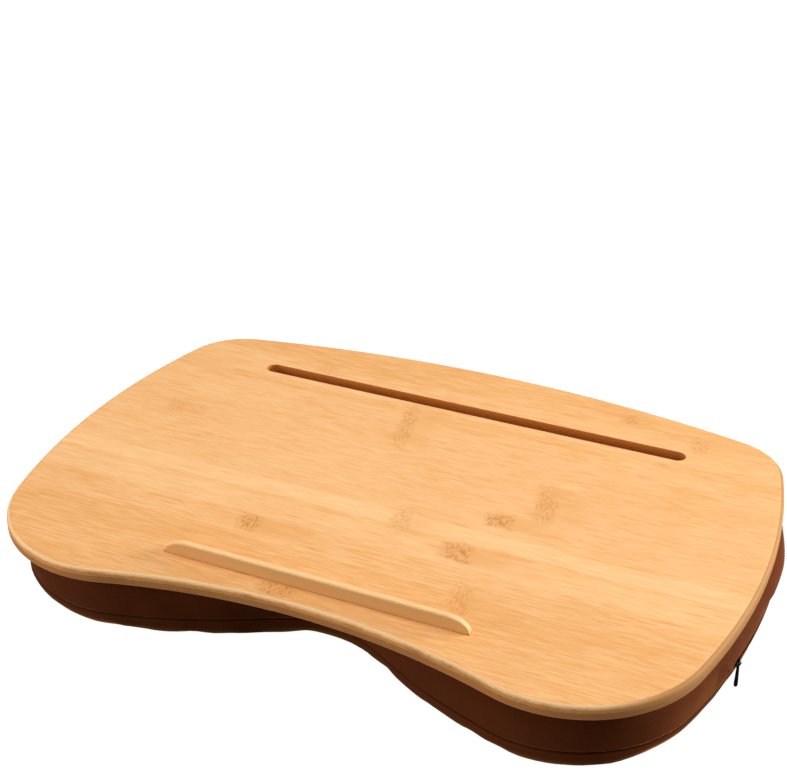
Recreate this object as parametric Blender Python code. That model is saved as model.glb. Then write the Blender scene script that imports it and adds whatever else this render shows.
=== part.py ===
"""Lap desk: a two-ply bamboo board with a tablet slot and a stop ledge, fastened by
hook-and-loop strips to a foam cushion in a zipped cover with an oval hollow for the lap.

Metres. +X is the user's right, +Y is away from the user, +Z is up. The origin is on the
surface that the cushion rests on, below the middle of the board.
"""

import math

import bmesh
import bpy
from mathutils import Matrix

# Clearance between pieces that touch, and how far a cutter runs past what it cuts.
GAP = 0.0003
OVERRUN = 0.004

# Heights above the resting surface.
BOARD_TOP_Z = 0.070
PLY_THICKNESS = 0.005
HOOK_THICKNESS = 0.001
LOOP_THICKNESS = 0.0007
SEAM_Z = 0.0295
ZIP_Z = 0.040

# Plan of the board. An edge is given by the reach of its corners, its reach at the
# middle and its corner radius.
BOARD_HALF_WIDTH = 0.260
BOARD_FRONT = (0.183, 0.159, 0.088)
BOARD_REAR = (0.161, 0.183, 0.050)
BOARD_SIDE_RADIUS = 0.485
SIDE_MIDDLE_Y = -0.003
TOP_ARRIS = 0.003
BOTTOM_ARRIS = 0.0015

# Tablet slot, cut right through the board.
SLOT_LENGTH = 0.3455
SLOT_WIDTH = 0.0125
SLOT_Y = 0.1185

# Stop ledge, seated in a groove of the upper ply.
LEDGE_LENGTH = 0.218
LEDGE_WIDTH = 0.005
LEDGE_HEIGHT = 0.010
LEDGE_FRONT_Y = -0.1422
LEDGE_END_REACH = 0.017
LEDGE_ARRIS = 0.001
GROOVE_DEPTH = 0.002

# Plan of the cushion at its widest, drawn as the board's is.
CUSHION_HALF_WIDTH = 0.2559
CUSHION_SIDE_RADIUS = 0.432
CUSHION_FRONT = (0.1782, 0.1566, 0.091)
CUSHION_REAR = (0.168, 0.163, 0.084)

# The cushion sits a little to the right and to the rear, and turned a little clockwise.
CUSHION_SHIFT = (0.0031, 0.0019)
CUSHION_TURN = math.radians(-0.8)

# Notch in the middle of the cushion's front edge, deeper at the seam than at the board.
# It fades out behind the edge.
NOTCH_DEPTH = 0.033
NOTCH_BASE_DEPTH = 0.021
NOTCH_HALF_WIDTH = 0.065
NOTCH_END = 0.045
NOTCH_FADE = 0.070

# Form of the cushion: the band leans in towards the board above its bulge, and the lap
# side rolls from the seam to a crown.
BULGE_Z = 0.045
BASE_TUCK = 0.006
ROLL_WIDTH = 0.047
ROLL_DROP = 0.0287
CROWN_RISE = 0.0013

# Oval hollow in the lap side: its rim, and its deepest point nearer the front.
HOLLOW_HALF_WIDTH = 0.100
HOLLOW_HALF_DEPTH = 0.070
HOLLOW_Y = 0.015
HOLLOW_LOW_Y = -0.022
HOLLOW_RISE = 0.034

# Cover cloth, and how far the foam stands back from the band for the zip.
CLOTH = 0.001
FOAM_SIDE_EASE = 0.003

# Zip. It runs from the right side round the back to the left side, and its places on the
# sides are distances forward (-) or back (+) of the side's middle, along the side.
ZIP_START = -0.068
ZIP_END = 0.038
SLIDER_REST = -0.056
TAPE_THICKNESS = 0.0006
TAPE_HEIGHT = 0.0037
TEETH_THICKNESS = 0.0018
TEETH_HEIGHT = 0.0012
TEETH_PART = 0.0016
STOP_LENGTH = 0.002
STOP_OVERHANG = 0.0004

# Slider: two plates with inward flanges, joined by a wedge between the rows of teeth,
# and a bridge on the outer plate that carries the pull.
SLIDER_LENGTH = 0.010
SLIDER_HEIGHT = 0.0068
PLATE_THICKNESS = 0.0008
FLANGE_HEIGHT = 0.001
WEDGE_LENGTH = 0.003
WEDGE_HEIGHT = 0.001
BRIDGE_LENGTH = 0.0062
BRIDGE_WIDTH = 0.0016
BRIDGE_BAR = 0.0008
EYE_RADIUS = 0.0018
EYE_BORE_RADIUS = 0.0009
PULL_LENGTH = 0.0185
PULL_THICKNESS = 0.0014
PULL_NECK = 0.0014
PULL_TIP = 0.0024

# Hook-and-loop strips, one near each corner of the cushion.
STRIP_LENGTH = 0.080
STRIP_WIDTH = 0.025
STRIP_X = 0.130
STRIP_FRONT_Y = -0.100
STRIP_REAR_Y = 0.070

# Heights and places that follow.
BOARD_BOTTOM_Z = BOARD_TOP_Z - 2 * PLY_THICKNESS
HOOK_TOP_Z = BOARD_BOTTOM_Z - GAP
LOOP_TOP_Z = HOOK_TOP_Z - HOOK_THICKNESS - GAP
BASE_TOP_Z = LOOP_TOP_Z - LOOP_THICKNESS - GAP
BAND_TOP_Z = BASE_TOP_Z - CLOTH - GAP
FOAM_DEPTH = CLOTH + GAP
TEETH_LOW = TEETH_PART / 2
TEETH_HIGH = TEETH_LOW + TEETH_HEIGHT
TAPE_LOW = TEETH_HIGH + GAP
TAPE_HIGH = TAPE_LOW + TAPE_HEIGHT

# Counts of facets: along half an edge, round a corner and along half a side. The strips
# of the band and the zip have their own count from a corner to the zip's end.
BOARD_FACETS = (6, 8, 5)
CUSHION_FACETS = (5, 5, 3)
STRIP_SIDE_FACETS = 9
ARRIS_FACETS = 3
LEDGE_ARRIS_FACETS = 2
ROLL_FACETS = 5
HOLLOW_FACETS = 5
ROUND_FACETS = 12

# Faces that meet at more than this angle keep a sharp edge between them.
SHARP_ANGLE = math.radians(40)


class Outline:
    """A plan shape, alike left and right: bowed sides, round corners, and front and rear
    edges that are arcs, hollow or bowed, meeting the corners without a kink."""

    def __init__(self, half_width, side_radius, front, rear, facets):
        self.side_radius = side_radius
        self.side_x = half_width - side_radius
        self.half_width = half_width
        self.edges = {-1: front, 1: rear}
        self.facets = facets

    def inset(self, distance):
        front, rear = ([size - distance for size in self.edges[end]] for end in (-1, 1))
        width = self.half_width - distance
        return Outline(width, self.side_radius - distance, front, rear, self.facets)

    def corner(self, end):
        """Centre and radius of a corner arc, with y measured towards that end."""
        reach, _, radius = self.edges[end]
        y = reach - radius
        rise = y - end * SIDE_MIDDLE_Y
        x = self.side_x + math.sqrt((self.side_radius - radius) ** 2 - rise**2)
        return x, y, radius

    def edge(self, end):
        """Radius (negative for a hollow edge), centre and half angle of an edge arc."""
        x, y, corner = self.corner(end)
        out = self.edges[end][1] - y
        radius = (x * x + out * out - corner * corner) / (2 * (out - corner))
        centre = y + out - radius
        return radius, centre, math.atan2(x / (radius - corner), (y - centre) / (radius - corner))

    def side_angle(self, end):
        """Angle, from straight towards that end, at which the corner meets the side."""
        x, y, _ = self.corner(end)
        return math.atan2(x - self.side_x, y - end * SIDE_MIDDLE_Y)

    def side_point(self, angle):
        """A point of the right side, at an angle from straight right, positive to the rear."""
        return (
            self.side_x + self.side_radius * math.cos(angle),
            SIDE_MIDDLE_Y + self.side_radius * math.sin(angle),
        )

    def end_path(self, end):
        """Points of the right half from the middle of an edge to the start of the side."""
        radius, centre, half_angle = self.edge(end)
        x, y, corner = self.corner(end)
        along_edge, round_corner, _ = self.facets
        points = []
        for i in range(along_edge):
            angle = half_angle * i / along_edge
            points.append((radius * math.sin(angle), centre + radius * math.cos(angle)))
        stop = self.side_angle(end)
        for i in range(round_corner + 1):
            angle = half_angle + (stop - half_angle) * i / round_corner
            points.append((x + corner * math.sin(angle), y + corner * math.cos(angle)))
        return [(px, end * py) for px, py in points]

    def side_path(self, end, angle, facets):
        """Points of the right side from the corner's end to a given angle."""
        start = end * (math.pi / 2 - self.side_angle(end))
        steps = range(1, facets + 1)
        return [self.side_point(start + (angle - start) * i / facets) for i in steps]

    def half_path(self, end, angle, side_facets):
        return self.end_path(end) + self.side_path(end, angle, side_facets)

    def loop(self):
        """The whole outline, anticlockwise seen from above."""
        side_facets = self.facets[2]
        front = self.half_path(-1, 0.0, side_facets)
        rear = self.half_path(1, 0.0, side_facets)[:-1]
        right = front + rear[::-1]
        left = [(-x, y) for x, y in right[-2:0:-1]]
        return right + left

    def path_round(self, end, right_angle, left_angle):
        """The open path round one end, from the right side's angle to the left side's."""
        right = self.half_path(end, right_angle, STRIP_SIDE_FACETS)
        left = [(-x, y) for x, y in self.half_path(end, left_angle, STRIP_SIDE_FACETS)]
        return right[::-1] + left[1:]


BOARD = Outline(BOARD_HALF_WIDTH, BOARD_SIDE_RADIUS, BOARD_FRONT, BOARD_REAR, BOARD_FACETS)
CUSHION = Outline(
    CUSHION_HALF_WIDTH, CUSHION_SIDE_RADIUS, CUSHION_FRONT, CUSHION_REAR, CUSHION_FACETS
)
ZIP_LINE = CUSHION.inset(CLOTH / 2)


def material(name, color, roughness, metallic=0.0):
    made = bpy.data.materials.new(name)
    made.use_nodes = True
    shader = made.node_tree.nodes["Principled BSDF"]
    shader.inputs["Base Color"].default_value = (*color, 1.0)
    shader.inputs["Roughness"].default_value = roughness
    shader.inputs["Metallic"].default_value = metallic
    made.diffuse_color = (*color, 1.0)
    return made


def bamboo():
    return material("bamboo", (0.86, 0.52, 0.25), 0.42)


def pale_bamboo():
    return material("pale_bamboo", (0.84, 0.47, 0.20), 0.45)


def brown_knit():
    return material("brown_knit", (0.19, 0.055, 0.016), 0.85)


def brown_twill():
    return material("brown_twill", (0.15, 0.045, 0.014), 0.9)


def cream_foam():
    return material("cream_foam", (0.80, 0.74, 0.56), 0.95)


def dark_enamel():
    return material("dark_enamel", (0.016, 0.012, 0.012), 0.35, 0.6)


def dark_nylon():
    return material("dark_nylon", (0.03, 0.014, 0.009), 0.6)


def black_hook():
    return material("black_hook", (0.02, 0.02, 0.022), 0.8)


def add_object(name, mesh, look, parent=None):
    mesh.shade_smooth()
    mesh.set_sharp_from_angle(angle=SHARP_ANGLE)
    made = bpy.data.objects.new(name, mesh)
    made.data.materials.append(look)
    made.parent = parent
    bpy.context.scene.collection.objects.link(made)
    return made


def mesh_of(name, bm):
    bmesh.ops.recalc_face_normals(bm, faces=bm.faces)
    mesh = bpy.data.meshes.new(name)
    bm.to_mesh(mesh)
    bm.free()
    return mesh


def level(path, z):
    return [(x, y, z) for x, y in path]


def bridge(bm, first, second):
    """Quads between two closed rows of vertices."""
    for i in range(len(first)):
        j = (i + 1) % len(first)
        bm.faces.new((first[i], first[j], second[j], second[i]))


def lofted(name, rings):
    """A closed solid: flat caps on the first and last ring, and quads between rings."""
    bm = bmesh.new()
    rows = [[bm.verts.new(point) for point in ring] for ring in rings]
    for first, second in zip(rows, rows[1:]):
        bridge(bm, first, second)
    bm.faces.new(rows[0])
    bm.faces.new(rows[-1])
    return mesh_of(name, bm)


def box(name, size, centre=(0.0, 0.0, 0.0)):
    bm = bmesh.new()
    place = Matrix.Translation(centre) @ Matrix.Diagonal((*size, 1.0))
    bmesh.ops.create_cube(bm, size=1.0, matrix=place)
    return mesh_of(name, bm)


def cutter(name, mesh, target, operation="DIFFERENCE"):
    """A hidden helper that is cut from the target or joined to it."""
    helper = bpy.data.objects.new(name, mesh)
    bpy.context.scene.collection.objects.link(helper)
    helper.hide_render = True
    helper.display_type = "WIRE"
    change = target.modifiers.new(name, "BOOLEAN")
    change.operation = operation
    change.solver = "EXACT"
    change.object = helper
    return helper


def stadium(length, width, y):
    """A slot's plan: two straight sides with half-round ends."""
    radius = width / 2
    points = []
    for end in (1, -1):
        for i in range(ROUND_FACETS + 1):
            angle = math.pi * (i / ROUND_FACETS - end / 2)
            x = end * (length / 2 - radius) + radius * math.cos(angle)
            points.append((x, y + radius * math.sin(angle)))
    return points


def arris_rings(outline, face_z, radius, inwards):
    """Rings that round an edge, from the outline's side to the flat face at face_z."""
    rings = []
    for i in range(ARRIS_FACETS + 1):
        angle = math.pi / 2 * i / ARRIS_FACETS
        plan = outline.inset(radius * (1 - math.cos(angle))).loop()
        rings.append(level(plan, face_z + inwards * radius * (1 - math.sin(angle))))
    return rings


def upper_ply(look):
    """The upper ply, its top edge rounded, with the slot and the ledge's groove."""
    seam_z = BOARD_TOP_Z - PLY_THICKNESS + GAP / 2
    rings = [level(BOARD.loop(), seam_z), *arris_rings(BOARD, BOARD_TOP_Z, TOP_ARRIS, -1)]
    ply = add_object("upper_ply", lofted("upper_ply", rings), look)
    slot_cut(ply)
    length = LEDGE_LENGTH + 2 * GAP
    width = LEDGE_WIDTH + 2 * GAP
    height = GROOVE_DEPTH + OVERRUN
    middle = (0.0, LEDGE_FRONT_Y + LEDGE_WIDTH / 2, BOARD_TOP_Z - GROOVE_DEPTH + height / 2)
    cutter("groove_cut", box("groove_cut", (length, width, height), middle), ply)


def lower_ply(look):
    """The lower ply, its bottom edge rounded a little, with the slot."""
    seam_z = BOARD_TOP_Z - PLY_THICKNESS - GAP / 2
    rounded = arris_rings(BOARD, BOARD_BOTTOM_Z, BOTTOM_ARRIS, 1)
    rings = [*rounded[::-1], level(BOARD.loop(), seam_z)]
    slot_cut(add_object("lower_ply", lofted("lower_ply", rings), look))


def slot_cut(ply):
    """The tablet slot, cut right through a ply."""
    plan = stadium(SLOT_LENGTH, SLOT_WIDTH, SLOT_Y)
    rings = [level(plan, BOARD_BOTTOM_Z - OVERRUN), level(plan, BOARD_TOP_Z + OVERRUN)]
    name = ply.name + "_slot_cut"
    cutter(name, lofted(name, rings), ply)


def stop_ledge(look):
    """A strip whose ends rise from the board in long quarter ellipses."""
    half = LEDGE_LENGTH / 2
    bottom = BOARD_TOP_Z - GROOVE_DEPTH + GAP
    face = [(half, bottom), (half, BOARD_TOP_Z)]
    quarter = ROUND_FACETS // 2
    for i in range(1, quarter + 1):
        angle = math.pi / 2 * i / quarter
        across = half - LEDGE_END_REACH * (1 - math.cos(angle))
        face.append((across, BOARD_TOP_Z + LEDGE_HEIGHT * math.sin(angle)))
    face += [(-x, z) for x, z in reversed(face)]
    back = LEDGE_FRONT_Y + LEDGE_WIDTH
    rings = [[(x, y, z) for x, z in face] for y in (LEDGE_FRONT_Y, back)]
    ledge = add_object("stop_ledge", lofted("stop_ledge", rings), look)
    soften = ledge.modifiers.new("arris", "BEVEL")
    soften.width = LEDGE_ARRIS
    soften.segments = LEDGE_ARRIS_FACETS
    soften.limit_method = "ANGLE"
    soften.angle_limit = SHARP_ANGLE


def tuck(z):
    """How far the band stands in from the cushion's widest outline at a height."""
    return BASE_TUCK * max(0.0, (z - BULGE_Z) / (BASE_TOP_Z - BULGE_Z)) ** 2


def notched(x, y, z):
    """A point of the cushion, moved back by the notch in the front edge."""
    near = min(1.0, max(0.0, (-y - NOTCH_END) / NOTCH_FADE))
    up = min(1.0, max(0.0, (z - SEAM_Z) / (BASE_TOP_Z - SEAM_Z)))
    depth = NOTCH_DEPTH + (NOTCH_BASE_DEPTH - NOTCH_DEPTH) * up
    across = math.exp(-((x / NOTCH_HALF_WIDTH) ** 2))
    return x, y + depth * across * near * near * (3 - 2 * near), z


def cushion_level(path, z):
    return [notched(x, y, z) for x, y in path]


def lap_point(x, y, drop, depth):
    """A point of the lap side, kept above the flat that the cushion rests on."""
    return notched(x, y, max(SEAM_Z - drop, depth))


def lap_rings(depth):
    """Rings of the lap side from the seam to the hollow's middle, a depth under its face."""
    rings = []
    for i in range(ROLL_FACETS + 1):
        angle = math.pi / 2 * i / ROLL_FACETS
        inset = ROLL_WIDTH - (ROLL_WIDTH - depth) * math.cos(angle)
        drop = (ROLL_DROP - depth) * math.sin(angle)
        plan = CUSHION.inset(inset).loop()
        rings.append([lap_point(x, y, drop, depth) for x, y in plan])
    crown = CUSHION.inset(ROLL_WIDTH).loop()
    rim = [hollow_rim(x, y) for x, y in crown]
    middle = [((x + u) / 2, (y + v) / 2) for (x, y), (u, v) in zip(crown, rim)]
    full_drop = ROLL_DROP + CROWN_RISE - depth
    rings.append([lap_point(x, y, full_drop, depth) for x, y in middle])
    for i in range(HOLLOW_FACETS):
        share = 1 - i / HOLLOW_FACETS
        rise = HOLLOW_RISE * (1 + math.cos(math.pi * share)) / 2
        ring = []
        for u, v in rim:
            x = u * share
            y = HOLLOW_LOW_Y + (v - HOLLOW_LOW_Y) * share
            x, y, base = lap_point(x, y, full_drop, depth)
            ring.append((x, y, base + rise))
        rings.append(ring)
    return rings


def hollow_rim(x, y):
    """The rim point that faces a point of the outline, seen from the hollow's middle."""
    angle = math.atan2((y - HOLLOW_Y) / HOLLOW_HALF_DEPTH, x / HOLLOW_HALF_WIDTH)
    return HOLLOW_HALF_WIDTH * math.cos(angle), HOLLOW_Y + HOLLOW_HALF_DEPTH * math.sin(angle)


def close_at_point(bm, row, z):
    """A fan from the last ring to the hollow's deepest point."""
    tip = bm.verts.new((0.0, HOLLOW_LOW_Y, z))
    for i, vert in enumerate(row):
        bm.faces.new((vert, row[(i + 1) % len(row)], tip))


def lap_panel(look, place):
    """The cover's lap side: one skin, outside and inside, joined along the seam."""
    bm = bmesh.new()
    skins = []
    for depth in (0.0, CLOTH):
        rings = lap_rings(depth)
        rings[0] = [(x, y, SEAM_Z - GAP / 2) for x, y, _ in rings[0]]
        rows = [[bm.verts.new(point) for point in ring] for ring in rings]
        for first, second in zip(rows, rows[1:]):
            bridge(bm, first, second)
        close_at_point(bm, rows[-1], depth + HOLLOW_RISE)
        skins.append(rows[0])
    bridge(bm, *skins)
    add_object("lap_panel", mesh_of("lap_panel", bm), look, place)


def foam_core(look, place):
    """The foam: flat towards the board, eased back from the band, then under the lap skin."""
    bm = bmesh.new()
    rings = []
    for z in (BAND_TOP_Z, BULGE_Z, SEAM_Z + FOAM_SIDE_EASE):
        rings.append(cushion_level(CUSHION.inset(tuck(z) + FOAM_SIDE_EASE).loop(), z))
    rings += lap_rings(FOAM_DEPTH)
    rows = [[bm.verts.new(point) for point in ring] for ring in rings]
    for first, second in zip(rows, rows[1:]):
        bridge(bm, first, second)
    bm.faces.new(rows[0])
    close_at_point(bm, rows[-1], FOAM_DEPTH + HOLLOW_RISE)
    add_object("foam_core", mesh_of("foam_core", bm), look, place)


def base_panel(look, place):
    """The cover's flat side, which faces the board."""
    plan = CUSHION.inset(BASE_TUCK).loop()
    rings = [cushion_level(plan, z) for z in (BASE_TOP_Z - CLOTH, BASE_TOP_Z)]
    add_object("base_panel", lofted("base_panel", rings), look, place)


def cloth_strip(name, look, place, end, angles, heights):
    """A strip of the band round one end of the cushion, through the given heights."""
    outer = []
    inner = []
    for z in heights:
        for depth, rows in ((0.0, outer), (CLOTH, inner)):
            plan = CUSHION.inset(tuck(z) + depth).path_round(end, *angles)
            rows.append(cushion_level(plan, z))
    sections = list(zip(*outer, *reversed(inner)))
    add_object(name, lofted(name, sections), look, place)


def side_angle(distance):
    """The angle that a distance along the cushion's side takes up about its centre."""
    return distance / CUSHION_SIDE_RADIUS


def side_band(look, place):
    """The band in one strip round the front, from one end of the zip to the other."""
    clear = side_angle(GAP)
    angles = (side_angle(ZIP_START) - clear, side_angle(ZIP_END) - clear)
    heights = (SEAM_Z + GAP / 2, BULGE_Z, (BULGE_Z + BAND_TOP_Z) / 2, BAND_TOP_Z)
    cloth_strip("side_band", look, place, -1, angles, heights)


def zip_angles():
    return side_angle(ZIP_START), side_angle(ZIP_END)


def zip_panels(look, place):
    low = (SEAM_Z + GAP / 2, ZIP_Z - TAPE_HIGH - GAP)
    high = (ZIP_Z + TAPE_HIGH + GAP, (BULGE_Z + BAND_TOP_Z) / 2, BAND_TOP_Z)
    for name, heights in (("zip_panel_lower", low), ("zip_panel_upper", high)):
        cloth_strip(name, look, place, 1, zip_angles(), heights)


def zip_strip(name, look, place, thickness, low, high, shorten=0.0):
    """A strip that follows the zip's line, between two heights above or below it."""
    start, end = zip_angles()
    angles = (start + side_angle(shorten), end + side_angle(shorten))
    outer = ZIP_LINE.inset(-thickness / 2).path_round(1, *angles)
    inner = ZIP_LINE.inset(thickness / 2).path_round(1, *angles)
    rows = (level(outer, low), level(outer, high), level(inner, high), level(inner, low))
    add_object(name, lofted(name, list(zip(*rows))), look, place)


def zip_sides():
    """The two sides of the zip: name ending and direction from the zip's line."""
    return ("upper", 1), ("lower", -1)


def zip_tapes(look, place):
    for ending, way in zip_sides():
        low, high = sorted((ZIP_Z + way * TAPE_LOW, ZIP_Z + way * TAPE_HIGH))
        zip_strip("zip_tape_" + ending, look, place, TAPE_THICKNESS, low, high)


def zip_teeth(look, place):
    shorten = STOP_LENGTH + GAP
    for ending, way in zip_sides():
        low, high = sorted((ZIP_Z + way * TEETH_LOW, ZIP_Z + way * TEETH_HIGH))
        zip_strip("zip_teeth_" + ending, look, place, TEETH_THICKNESS, low, high, shorten)


def empty(name, location, turn=0.0, parent=None):
    """A place that pieces are set at, turned about the upright axis."""
    made = bpy.data.objects.new(name, None)
    made.location = location
    made.rotation_euler = (0.0, 0.0, turn)
    made.parent = parent
    bpy.context.scene.collection.objects.link(made)
    return made


def zip_holder(name, along, place, side=1):
    """A place on the zip's line, its +X straight out of the cushion, +Y along the zip."""
    angle = side_angle(along)
    x, y = ZIP_LINE.side_point(angle)
    turn = angle if side > 0 else math.pi - angle
    return empty(name, (side * x, y, ZIP_Z), turn, place)


def zip_stops(look, place):
    """Small clamps: one on each row at the closed end, and one across both at the other."""
    holder = zip_holder("front_stop_place", ZIP_START + STOP_LENGTH / 2, place)
    thickness = TEETH_THICKNESS + 2 * STOP_OVERHANG
    size = (thickness, STOP_LENGTH, TEETH_HEIGHT)
    for ending, way in zip_sides():
        name = "front_stop_" + ending
        middle = (0.0, 0.0, way * (TEETH_LOW + TEETH_HEIGHT / 2))
        add_object(name, box(name, size, middle), look, holder)
    far = zip_holder("rear_stop_place", ZIP_END + STOP_LENGTH / 2, place, -1)
    size = (thickness, STOP_LENGTH, 2 * TEETH_HIGH)
    add_object("rear_stop", box("rear_stop", size), look, far)


def slider_axis(place):
    """The upright axis that the slider's way along the side turns about."""
    return empty("slider_axis", (ZIP_LINE.side_x, SIDE_MIDDLE_Y, ZIP_Z), parent=place)


def bar_offset():
    """How far out of the zip's line the bridge's bar, and so the pull's hinge, lies."""
    plate_face = TEETH_THICKNESS / 2 + GAP + PLATE_THICKNESS
    return plate_face + EYE_RADIUS + GAP


def span(length, middle=0.0):
    return middle - length / 2, middle + length / 2


def slider_blocks():
    """The slider as spans out of the zip's line, along it and upwards: two flanged plates,
    the wedge that joins them, and the bridge's two legs and bar."""
    inner = TEETH_THICKNESS / 2 + GAP
    outer = inner + PLATE_THICKNESS
    lip = TAPE_THICKNESS / 2 + GAP
    edge = (SLIDER_HEIGHT - FLANGE_HEIGHT) / 2
    length = span(SLIDER_LENGTH)
    blocks = [(span(2 * outer), span(WEDGE_LENGTH), span(WEDGE_HEIGHT))]
    for way in (1, -1):
        blocks.append((sorted((way * inner, way * outer)), length, span(SLIDER_HEIGHT)))
        for side in (1, -1):
            flange = sorted((way * lip, way * outer))
            blocks.append((flange, length, span(FLANGE_HEIGHT, side * edge)))
    bar = span(BRIDGE_BAR, bar_offset())
    blocks.append((bar, span(BRIDGE_LENGTH), span(BRIDGE_BAR)))
    for way in (1, -1):
        leg = span(BRIDGE_BAR, way * (BRIDGE_LENGTH - BRIDGE_BAR) / 2)
        blocks.append(((inner, bar[1]), leg, span(BRIDGE_WIDTH)))
    return blocks


def block(name, spans):
    size = [high - low for low, high in spans]
    return box(name, size, [(low + high) / 2 for low, high in spans])


def zip_slider(look, axis):
    first, *others = slider_blocks()
    slider = add_object("zip_slider", block("zip_slider", first), look)
    for number, spans in enumerate(others, 1):
        name = f"slider_join_{number}"
        helper = cutter(name, block(name, spans), slider, "UNION")
        helper.parent = slider
    place_on_slide(slider, axis, 0.0)


def place_on_slide(made, axis, out):
    """Sets a piece at the slider's resting place, a distance out of the zip's line."""
    angle = side_angle(SLIDER_REST)
    radius = ZIP_LINE.side_radius + out
    made.parent = axis
    made.location = (radius * math.cos(angle), radius * math.sin(angle), 0.0)
    made.rotation_euler = (0.0, 0.0, angle)


def pull_outline():
    """The pull's face, eye at the origin: a round eye that runs into a tapering blade."""
    lean = math.asin(PULL_NECK / 2 / EYE_RADIUS)
    points = []
    for i in range(2 * ROUND_FACETS + 1):
        angle = -math.pi / 2 + lean + (2 * math.pi - 2 * lean) * i / (2 * ROUND_FACETS)
        points.append((EYE_RADIUS * math.cos(angle), EYE_RADIUS * math.sin(angle)))
    tip = -PULL_LENGTH + PULL_TIP / 2
    for i in range(ROUND_FACETS + 1):
        angle = math.pi + math.pi * i / ROUND_FACETS
        points.append((PULL_TIP / 2 * math.cos(angle), tip + PULL_TIP / 2 * math.sin(angle)))
    return points


def zip_pull(look, axis):
    """The pull, its eye round the bridge's bar. It hangs down, its face along the zip."""
    half = PULL_THICKNESS / 2
    rings = [[(x, y, z) for x, z in pull_outline()] for y in (-half, half)]
    pull = add_object("zip_pull", lofted("zip_pull", rings), look)
    bore = []
    for i in range(ROUND_FACETS):
        angle = 2 * math.pi * i / ROUND_FACETS
        bore.append((EYE_BORE_RADIUS * math.cos(angle), EYE_BORE_RADIUS * math.sin(angle)))
    hole = [[(x, y, z) for x, z in bore] for y in (-OVERRUN, OVERRUN)]
    helper = cutter("pull_bore", lofted("pull_bore", hole), pull)
    helper.parent = pull
    place_on_slide(pull, axis, bar_offset())


def strip_places():
    """The strips' places: name ending, x and y."""
    for row, y in (("front", STRIP_FRONT_Y), ("rear", STRIP_REAR_Y)):
        for side, x in (("left", -STRIP_X), ("right", STRIP_X)):
            yield f"{row}_{side}", x, y


def hook_and_loop(hook_look, loop_look, place):
    """The hook strips on the board, and under each its loop strip on the cushion."""
    kinds = (
        ("hook_strip_", hook_look, None, HOOK_TOP_Z, HOOK_THICKNESS),
        ("loop_strip_", loop_look, place, LOOP_TOP_Z, LOOP_THICKNESS),
    )
    for start, look, parent, top, thickness in kinds:
        mesh = box(start + "mesh", (STRIP_LENGTH, STRIP_WIDTH, thickness))
        for ending, x, y in strip_places():
            made = add_object(start + ending, mesh.copy(), look, parent)
            made.location = (x, y, top - thickness / 2)


def clear_scene():
    for old in list(bpy.data.objects):
        bpy.data.objects.remove(old, do_unlink=True)


def main():
    clear_scene()
    wood = bamboo()
    upper_ply(wood)
    lower_ply(pale_bamboo())
    stop_ledge(wood)
    place = empty("cushion_place", (*CUSHION_SHIFT, 0.0), CUSHION_TURN)
    knit = brown_knit()
    lap_panel(knit, place)
    foam_core(cream_foam(), place)
    twill = brown_twill()
    base_panel(twill, place)
    side_band(knit, place)
    zip_panels(knit, place)
    nylon = dark_nylon()
    zip_tapes(nylon, place)
    zip_teeth(nylon, place)
    enamel = dark_enamel()
    zip_stops(enamel, place)
    axis = slider_axis(place)
    zip_slider(enamel, axis)
    zip_pull(enamel, axis)
    hook_and_loop(black_hook(), twill, place)


main()
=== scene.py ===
# %% [markdown]
# # A bamboo lap desk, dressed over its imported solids
#
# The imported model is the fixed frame: it says where each solid part is and what moves.
# Every cell below makes one piece or one finish of the desk and puts it in its place.
# Lengths are metres, +X is the user's right, +Y is away from the user and +Z is up.

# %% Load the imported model
import math
from functools import partialmethod

import bmesh
import bpy
import numpy as np
from mathutils import Matrix, Vector
from mathutils.kdtree import KDTree


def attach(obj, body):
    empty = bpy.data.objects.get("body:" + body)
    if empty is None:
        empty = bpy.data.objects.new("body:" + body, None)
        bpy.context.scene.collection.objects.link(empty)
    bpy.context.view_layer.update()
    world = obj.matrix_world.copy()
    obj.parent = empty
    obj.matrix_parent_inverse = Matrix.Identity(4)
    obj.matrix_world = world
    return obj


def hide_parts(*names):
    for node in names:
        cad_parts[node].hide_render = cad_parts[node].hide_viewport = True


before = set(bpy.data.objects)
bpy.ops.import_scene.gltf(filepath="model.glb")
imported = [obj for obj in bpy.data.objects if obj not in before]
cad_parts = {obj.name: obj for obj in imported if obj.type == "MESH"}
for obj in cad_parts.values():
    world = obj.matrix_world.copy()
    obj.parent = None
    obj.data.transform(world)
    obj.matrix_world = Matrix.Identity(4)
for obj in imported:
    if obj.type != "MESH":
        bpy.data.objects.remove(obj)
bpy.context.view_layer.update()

# %% [markdown]
# ## Where the photographer stood
#
# The camera's place was fitted so that the left and right halves of the board match. A few
# cameras do that about as well, and the level one whose axis meets the picture's middle was
# taken. It looks from the desk's right front corner, 28 degrees down.


# %% The camera
def linked(name, data):
    """A new object in the scene."""
    made = bpy.data.objects.new(name, data)
    bpy.context.scene.collection.objects.link(made)
    return made


CAMERA_PLACE = (0.3830, -0.8504, 0.6501)
CAMERA_TILT = math.radians(28.25)
CAMERA_TURN = math.radians(24.63)
CAMERA_LENS = 70.81
SENSOR_WIDTH = 36

lens = bpy.data.cameras.new("photo_view")
lens.lens = CAMERA_LENS
lens.sensor_width = SENSOR_WIDTH
camera = linked("photo_view", lens)
camera.location = CAMERA_PLACE
camera.rotation_mode = "QUATERNION"
level_part = math.cos(CAMERA_TILT)
gaze = Vector(
    (
        -math.sin(CAMERA_TURN) * level_part,
        math.cos(CAMERA_TURN) * level_part,
        -math.sin(CAMERA_TILT),
    )
)
camera.rotation_quaternion = gaze.to_track_quat("-Z", "Y")
bpy.context.scene.camera = camera
bpy.context.scene.view_settings.view_transform = "Standard"
print("camera looks along", [round(v, 3) for v in gaze])

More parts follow.
